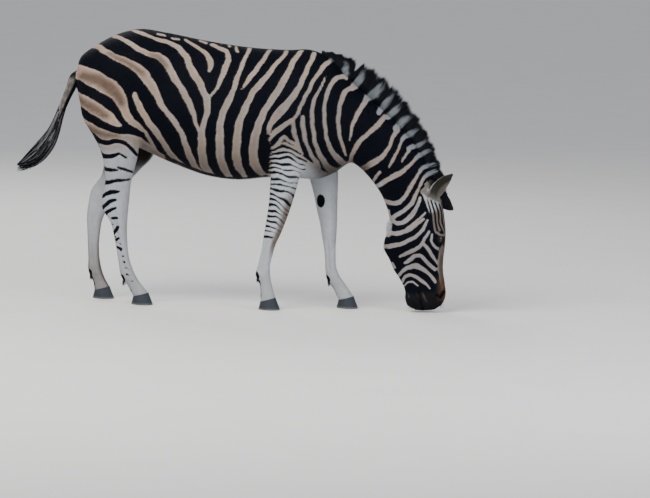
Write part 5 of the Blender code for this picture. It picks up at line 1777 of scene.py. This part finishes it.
def lashes():
    """Lashes: bowed locks from the upper rim, out and forward."""
    along, up, out = eye_axes()
    rng = draws(31)
    each, steps = 60, 5
    turn = np.tile(np.linspace(0.12, 0.88, each), 2) * math.pi
    count = len(turn)
    edge, azimuth = lid_rim(turn)
    root = eye_aimed(edge + 0.03, azimuth, EYE_RADIUS + 0.12)[:, None]
    length = rng.uniform(0.9, 1.5, (count, 1, 1))
    t = np.linspace(0, 1, steps)[:, None]
    way = out * 0.9 + up * 0.35 + along * rng.normal(-0.15, 0.15, (count, 1))
    paths = root + way[:, None] * length * t - up * t**2 * 0.6 * length
    paths = np.concatenate([eye_placed(paths[:each], RIGHT), eye_placed(paths[each:], LEFT)])
    radii = np.tile(0.03 * (1 - np.linspace(0, 0.8, steps)), (count, 1))
    uv = rng.random((count, 2)) * 0.9 + 0.05
    locks("lashes", paths, radii, up, uv, (-1.0, 0.05, 0.004))


class ZEBRA_OT_eyes(bpy.types.Operator):
    """Builds the eyes with their lids and lashes"""

    bl_idname = "zebra.eyes"
    bl_label = "Eyes"

    def execute(self, context):
        for side, name in ((RIGHT, "right"), (LEFT, "left")):
            centre, *ends = eye_placed(np.array([[0.0, 0, 0], *eye_axes()[:2]]), side)
            ball = new_object(f"eyeball_{name}", *shell(eye_placed(ball_grid(), side)))
            eye_finish(f"eye_{name}_wet", centre * CM, ends - centre)
            dress(ball, f"eye_{name}_wet", "eye", f"eye_{name}")
            lid = new_object(f"lid_{name}", *closed_ring(eye_placed(lid_grid(), side)))
            dress(lid, "lid_skin", "dark_hair")
        lashes()
        return {"FINISHED"}


def mane_field(points):
    """The stripe's distance at points of the mane before the head's turn."""
    place = on_board(points)
    return np.maximum(band_field(place, MANE_BANDS), band_field(place, PALE_BANDS))


def mane_tones(paths, t, rng):
    """Pale patches that carry the neck's stripes up the hair, and black tips."""
    count, steps = paths.shape[:2]
    field = mane_field(paths.reshape(-1, 3)).reshape(count, steps)
    field = field + rng.normal(0, 0.35, (count, 1))
    field = np.minimum(field, (0.80 - t - rng.normal(0, 0.06, (count, 1))) * 14)
    pale = tone("crest") * rng.uniform(0.8, 1.2, (count, 1, 1))
    return field, pale, tone("black") * rng.uniform(0.7, 1.6, (count, 1, 1))


def mane_core():
    """A thin dark slab inside the locks, so that no light shows between their roots."""
    where = np.linspace(0, len(MANE) - 1, 80)
    rows = curve_at(np.array([[*s[1:], 0.0] for s in MANE]), where)
    dip = 0.72 * (1 - 0.38 * np.exp(-(((where - 2.35) / 0.16) ** 2)))
    rows[:, 0:2] = rows[:, 2:4] + (rows[:, 0:2] - rows[:, 2:4]) * dip[:, None]
    rows[:, 4] *= 0.62
    grid = section_grid(rows, 24)
    field = np.append(mane_field(grid.reshape(-1, 3)), [-1, -1])
    piece = new_object("mane_core", *shell(turn_head(grid)))
    write_plain(piece, field, tone("crest") * 0.8)
    dress(piece, "zebra_hair", "dark_hair")


class ZEBRA_OT_mane(bpy.types.Operator):
    """Builds the upright mane: a thin core and thousands of tapered locks standing on the crest"""

    bl_idname = "zebra.mane"
    bl_label = "Mane"

    def execute(self, context):
        hair = context.scene.zebra_hair
        rng = draws(41)
        count, end = hair.mane_locks, len(MANE) - 1
        where = rng.random(count) ** 0.96 * end
        at = curve_at(np.array([s[1:6] for s in MANE]), where)
        rise, low, half = at[:, 0:2] - at[:, 2:4], at[:, 2:4], at[:, 4]
        side = rng.uniform(-1, 1, count)
        clump = np.sin(where * 11.0) * 0.5 + np.sin(where * 27.0 + 2) * 0.3 + np.sin(where * 61.0 + 1) * 0.2
        clump += np.sin(where * 118.0 + 0.6 * side) * 0.45
        reach = 0.945 + 0.06 * clump + rng.normal(0, 0.035, count) - 0.10 * side**2
        reach -= 0.42 * np.exp(-(((where - 2.35) / 0.10) ** 2))
        reach = np.minimum(reach * (0.93 + 0.07 * ramp(where, 0, 0.6)), 1.035)
        drift = np.cos(where * 11.0) * 0.35 + rng.normal(0, 0.25, count)
        t = np.array([0.18, 0.5, 0.8, 1.0])
        across = unit(np.stack([rise[:, 1], -rise[:, 0]], axis=1))
        flat = low[:, None] + rise[:, None] * (t * reach[:, None])[..., None]
        flat += across[:, None] * (drift[:, None] * t**2)[..., None]
        lean = rng.normal(0, 0.35, count)
        out = (side * half)[:, None] * (1.0 - 0.35 * t) + lean[:, None] * t**2
        paths = np.stack([flat[..., 0], out, flat[..., 1]], axis=-1)
        width = hair.lock_width / CM / 2 * rng.uniform(0.75, 1.3, count)
        radii = width[:, None] * np.array([1.0, 0.95, 0.6, 0.0])
        tones = mane_tones(paths, t, rng)
        uv = np.stack([where / end * 0.96 + 0.02, (side + 1) / 2 * 0.9 + 0.05], axis=1)
        spin = SIDEWAYS + rng.normal(0, 0.3, (count, 3))
        locks("mane_hair", turn_head(paths), radii, spin, uv, tones, "mane")
        mane_core()
        return {"FINISHED"}


def write_plain(piece, field, pale):
    """The tones of a piece of one pale and one dark colour, parted by the field."""
    dark = tone("black")
    tones = {"pale": np.tile(pale, (len(field), 1)), "dark": np.tile(dark, (len(field), 1))}
    write_tones(piece.data, {"stripe": field, **tones})


def round_tail(rows, way, half, angle):
    """Points round the tail's line: by the cosine square to it, by the sine aside."""
    out = half * np.cos(angle)
    x, z = rows[..., 0] + out * way[..., 1], rows[..., 1] - out * way[..., 0]
    return np.stack([x, half * np.sin(angle) * 0.85, z], axis=-1)


def dock_marks(points):
    """The dock's bars: pale behind, black in front, crossed by narrow bars."""
    line = curve_at(TAIL, np.linspace(0, 5, 200))
    gap = points[:, None, [0, 2]] - line[None, :, :2]
    index = (gap**2).sum(axis=2).argmin(axis=1)
    where = index / 199 * 5
    behind = (line[index, 0] - points[:, 0]) / line[index, 2]
    bars = np.cos(where * 2 * math.pi / 0.62) * 0.5 + 0.15
    field = np.minimum(behind * 1.2 + 0.35, bars + 0.3) - ramp(where, 3.2, 4.4) * 3
    return np.where(where < 1.0, np.minimum(field, 1 - np.abs(points[:, 1])), field)


def tail_dock():
    """The tail's core: rings square to its middle line, thinner inside the tuft."""
    where = np.linspace(0, 7.6, 90)
    rows = curve_at(TAIL, where)
    way = unit(np.gradient(rows[:, :2], axis=0))
    half = rows[:, 2] * (0.86 - 0.36 * ramp(where, 3.4, 5.4))
    points, faces, uv = shell(round_tail(rows[:, None], way[:, None], half[:, None], circle(28)))
    piece = new_object("tail_core", points, faces, uv)
    write_plain(piece, dock_marks(points), tone("flank") * 0.8)
    dress(piece, "zebra_hair", "coat", "tail_dock")


def tail_tuft():
    """Locks that follow the tail's line at their own distance from it."""
    rng = draws(51)
    count, steps = bpy.context.scene.zebra_hair.tail_locks, 9
    short = count * 2 // 5
    start = np.concatenate([rng.uniform(0.7, 3.6, short), rng.uniform(3.2, 6.4, count - short)])
    long = ramp(start, 2.6, 3.8)
    end = start + 0.45 + long * rng.uniform(2.6, 5.2, count)
    tip = 9.0 - rng.random(count) ** 2 * 1.6
    end = np.where(long > 0.3, np.minimum(end, tip), end)
    t = np.linspace(0, 1, steps)
    where = start[:, None] + (end - start)[:, None] * t
    rows = curve_at(TAIL, where.ravel())
    ahead = curve_at(TAIL, np.minimum(where.ravel() + 0.05, 8.999))
    behind = curve_at(TAIL, where.ravel() - 0.05)
    way = unit((ahead - behind)[:, :2])
    angle = np.repeat(rng.random(count) * 2 * math.pi, steps)
    inside = rng.random((count, 1)) ** 0.5
    hanging = long[:, None]
    loose = (0.55 + 0.5 * inside) * (1 - 0.5 * t**3) * hanging
    loose += (0.86 + (0.1 + 0.1 * t) * (1 - hanging)) * (1 - hanging)
    paths = round_tail(rows, way, rows[:, 2] * loose.ravel(), angle).reshape(count, steps, 3)
    paths[..., 2] += 0.35 * np.sin(where * 2.3 + rng.uniform(0, 6, (count, 1))) * t * hanging
    paths[..., 1] += 0.4 * np.sin(where * 1.7 + rng.uniform(0, 6, (count, 1))) * t
    stray = (rng.random(count) < 0.16) & (long > 0.5)
    drop = np.where(stray, rng.uniform(0.5, 1.0, count), 0.0)[:, None]
    paths[..., 2] -= drop * ramp(where, 5.8, 9.0) * 3.4
    width = np.where(long > 0.3, 0.19, 0.10) * rng.uniform(0.7, 1.2, count)
    radii = width[:, None] * (1 - t**2.2)
    field = np.where(long > 0.5, -1.0, dock_marks(paths[:, 0]))
    # grey locks in the upper tuft: a painted sheen on the black hair
    grey_sheen_locks = (rng.random((count, 1)) < 0.42 - 0.3 * ramp(where, 5.2, 7.4)) & (hanging > 0.5)
    dark = np.where(grey_sheen_locks[..., None], [0.085, 0.083, 0.086], tone("black"))
    tones = field[:, None], tone("flank") * 0.8, dark * rng.uniform(0.7, 1.6, (count, 1, 1))
    uv = np.stack([start / 9 * 0.94 + 0.03, rng.random(count) * 0.9 + 0.05], axis=1)
    locks("tail_hair", paths, radii, SIDEWAYS, uv, tones, "tail_tuft")


class ZEBRA_OT_tail(bpy.types.Operator):
    """Builds the tail: the dock, its short hair, and the long tuft swung back"""

    bl_idname = "zebra.tail"
    bl_label = "Tail"

    def execute(self, context):
        tail_dock()
        tail_tuft()
        return {"FINISHED"}


def fringe_parts():
    """Centre, spread, way, length, number, darkness, side, and whether it turns with the head."""
    parts = []
    for leg in LEGS.values():
        fetlock = leg.rings[-2]
        back = (fetlock.back_x + 1.5, fetlock.off, fetlock.back_z - 1.2)
        parts.append((back, (0.8, 2.2, 2.8), (-0.05, 0, -1), 1.0, 240, True, leg.side, False))
        heel = (leg.heel_x + 2.4, leg.rings[-1].off, 5.4)
        parts.append((heel, (0.9, 2.2, 1.2), (-0.3, 0, -0.9), 1.1, 120, False, leg.side, False))
    head = [
        ((77.6, 1.6, 33.4), (0.8, 1.6, 2.2), (-0.6, 0, -0.8), 1.7, 110, True),
        ((78.6, 2.0, 41.5), (0.9, 2.0, 5.0), (-0.55, 0, -0.8), 1.7, 260, False),
        ((91.5, 2.4, 3.4), (2.4, 2.4, 2.4), (-0.5, 0.3, -0.3), 2.6, 26, True),
        ((104.5, 3.4, 4.6), (2.4, 2.4, 2.0), (0.45, 0.5, -0.3), 2.4, 26, True),
    ]
    return parts + [(*row, side, True) for side in (RIGHT, LEFT) for row in head]


class ZEBRA_OT_fringes(bpy.types.Operator):
    """Adds the longer hair: fetlock tufts, coronets, jaw hair and whiskers"""

    bl_idname = "zebra.fringes"
    bl_label = "Fringes"

    def execute(self, context):
        rng = draws(61)
        t = np.linspace(0, 1, 4)[:, None]
        paths, stripe = [], []
        for centre, spread, way, length, count, dark, side, on_head in fringe_parts():
            root = np.array(centre) + np.clip(rng.normal(0, 0.45, (count, 3)), -0.8, 0.8) * spread
            lean = np.array(way) + rng.normal(0, 0.16, (count, 3))
            line = root[:, None] + lean[:, None] * t * length * rng.uniform(0.7, 1.1, (count, 1, 1))
            line[..., 2] = np.maximum(line[..., 2] - t[:, 0] ** 2 * 0.3, 0.15)
            line = line * [1, side, 1]
            paths.append(turn_head(line) if on_head else line)
            stripe += [[-1.0 if dark else 1.0]] * count
        paths = np.concatenate(paths)
        count = len(paths)
        radii = 0.06 * rng.uniform(0.7, 1.3, (count, 1)) * np.array([1.0, 0.9, 0.6, 0.0])
        uv = rng.random((count, 2)) * 0.9 + 0.05
        locks("fringe_hair", paths, radii, SIDEWAYS, uv, (stripe, tone("legs") * 0.95, tone("black") * 1.4))
        return {"FINISHED"}


def add_light(name, place, aim, size, power, colour):
    """A square soft light that faces its aim."""
    data = bpy.data.lights.new(name, "AREA")
    data.shape = "SQUARE"
    data.size = size
    data.energy = power
    data.color = colour
    obj = linked(name, data)
    obj.location = place
    x, y, z = np.subtract(aim, place)
    obj.rotation_euler = (math.atan2(math.hypot(x, y), -z), 0, math.atan2(y, x) - math.pi / 2)


def add_camera():
    """The camera, far off with a long lens, square to the board."""
    side, top, back = board_axes()
    data = bpy.data.cameras.new("camera")
    data.lens = data.sensor_width * CAMERA_DISTANCE / VIEW_WIDTH
    data.clip_end = 200.0
    matrix = np.eye(4)
    matrix[:3] = np.stack([side, top, back, CAMERA_AIM + back * CAMERA_DISTANCE], axis=1)
    camera = linked("camera", data)
    camera.matrix_world = Matrix(matrix.tolist())
    bpy.context.scene.camera = camera


class ZEBRA_OT_stage(bpy.types.Operator):
    """Sets the pale floor, the soft lights, the world and the camera"""

    bl_idname = "zebra.stage"
    bl_label = "Stage"

    def execute(self, context):
        settings = context.scene.zebra_stage
        corners = np.array([[-1, -1, 0], [1, -1, 0], [1, 1, 0], [-1, 1, 0]]) * FLOOR_REACH
        floor = new_object("floor", corners, [np.array([[0, 1, 2, 3]])])
        floor.data.materials.append(floor_finish())
        add_light("key", (-2.5, -5.0, 6.5), (0.0, 0.0, 0.8), 5.0, settings.key, (1.0, 0.985, 0.96))
        add_light("fill", (5.5, -3.5, 3.0), (0.3, 0.0, 0.6), 4.0, settings.fill, (0.93, 0.96, 1.0))
        add_light("rim", (-3.0, 5.5, 5.0), (0.0, 0.0, 0.9), 4.0, settings.fill, (1.0, 0.98, 0.95))
        world = bpy.data.worlds.new("studio")
        context.scene.world = world
        world.use_nodes = True
        sockets = world.node_tree.nodes["Background"].inputs
        sockets["Color"].default_value = (0.86, 0.9, 0.97, 1)
        sockets["Strength"].default_value = 0.75
        add_camera()
        return {"FINISHED"}


OPERATORS = [
    ZEBRA_OT_skin,
    ZEBRA_OT_eyes,
    ZEBRA_OT_hooves,
    ZEBRA_OT_mane,
    ZEBRA_OT_tail,
    ZEBRA_OT_coat,
    ZEBRA_OT_fringes,
    ZEBRA_OT_stage,
]
SETTINGS = {
    "zebra_skin": ZebraSkinSettings,
    "zebra_coat": ZebraCoatSettings,
    "zebra_hair": ZebraHairSettings,
    "zebra_features": ZebraFeatureSettings,
    "zebra_stage": ZebraStageSettings,
}


class ZEBRA_PT_panel(bpy.types.Panel):
    """Lists the zebra's operators and settings"""

    bl_idname = "ZEBRA_PT_panel"
    bl_label = "Zebra"
    bl_space_type = "VIEW_3D"
    bl_region_type = "UI"
    bl_category = "Zebra"

    def draw(self, context):
        for operator in OPERATORS:
            self.layout.operator(operator.bl_idname)
        for name in SETTINGS:
            group = getattr(context.scene, name)
            box = self.layout.box()
            for key in group.bl_rna.properties.keys():
                if key not in {"rna_type", "name"}:
                    box.prop(group, key)


def register():
    for kind in [*SETTINGS.values(), *OPERATORS, ZEBRA_PT_panel]:
        bpy.utils.register_class(kind)
    for name, kind in SETTINGS.items():
        setattr(bpy.types.Scene, name, PointerProperty(type=kind))


def unregister():
    for name in SETTINGS:
        delattr(bpy.types.Scene, name)
    for kind in [ZEBRA_PT_panel, *OPERATORS, *SETTINGS.values()]:
        bpy.utils.unregister_class(kind)


def main():
    """Builds every piece in order."""
    register()
    bpy.ops.zebra.stage()
    bpy.ops.zebra.skin()
    bpy.ops.zebra.eyes()
    bpy.ops.zebra.hooves()
    bpy.ops.zebra.mane()
    bpy.ops.zebra.tail()
    bpy.ops.zebra.coat()
    bpy.ops.zebra.fringes()


if __name__ == "__main__":
    main()
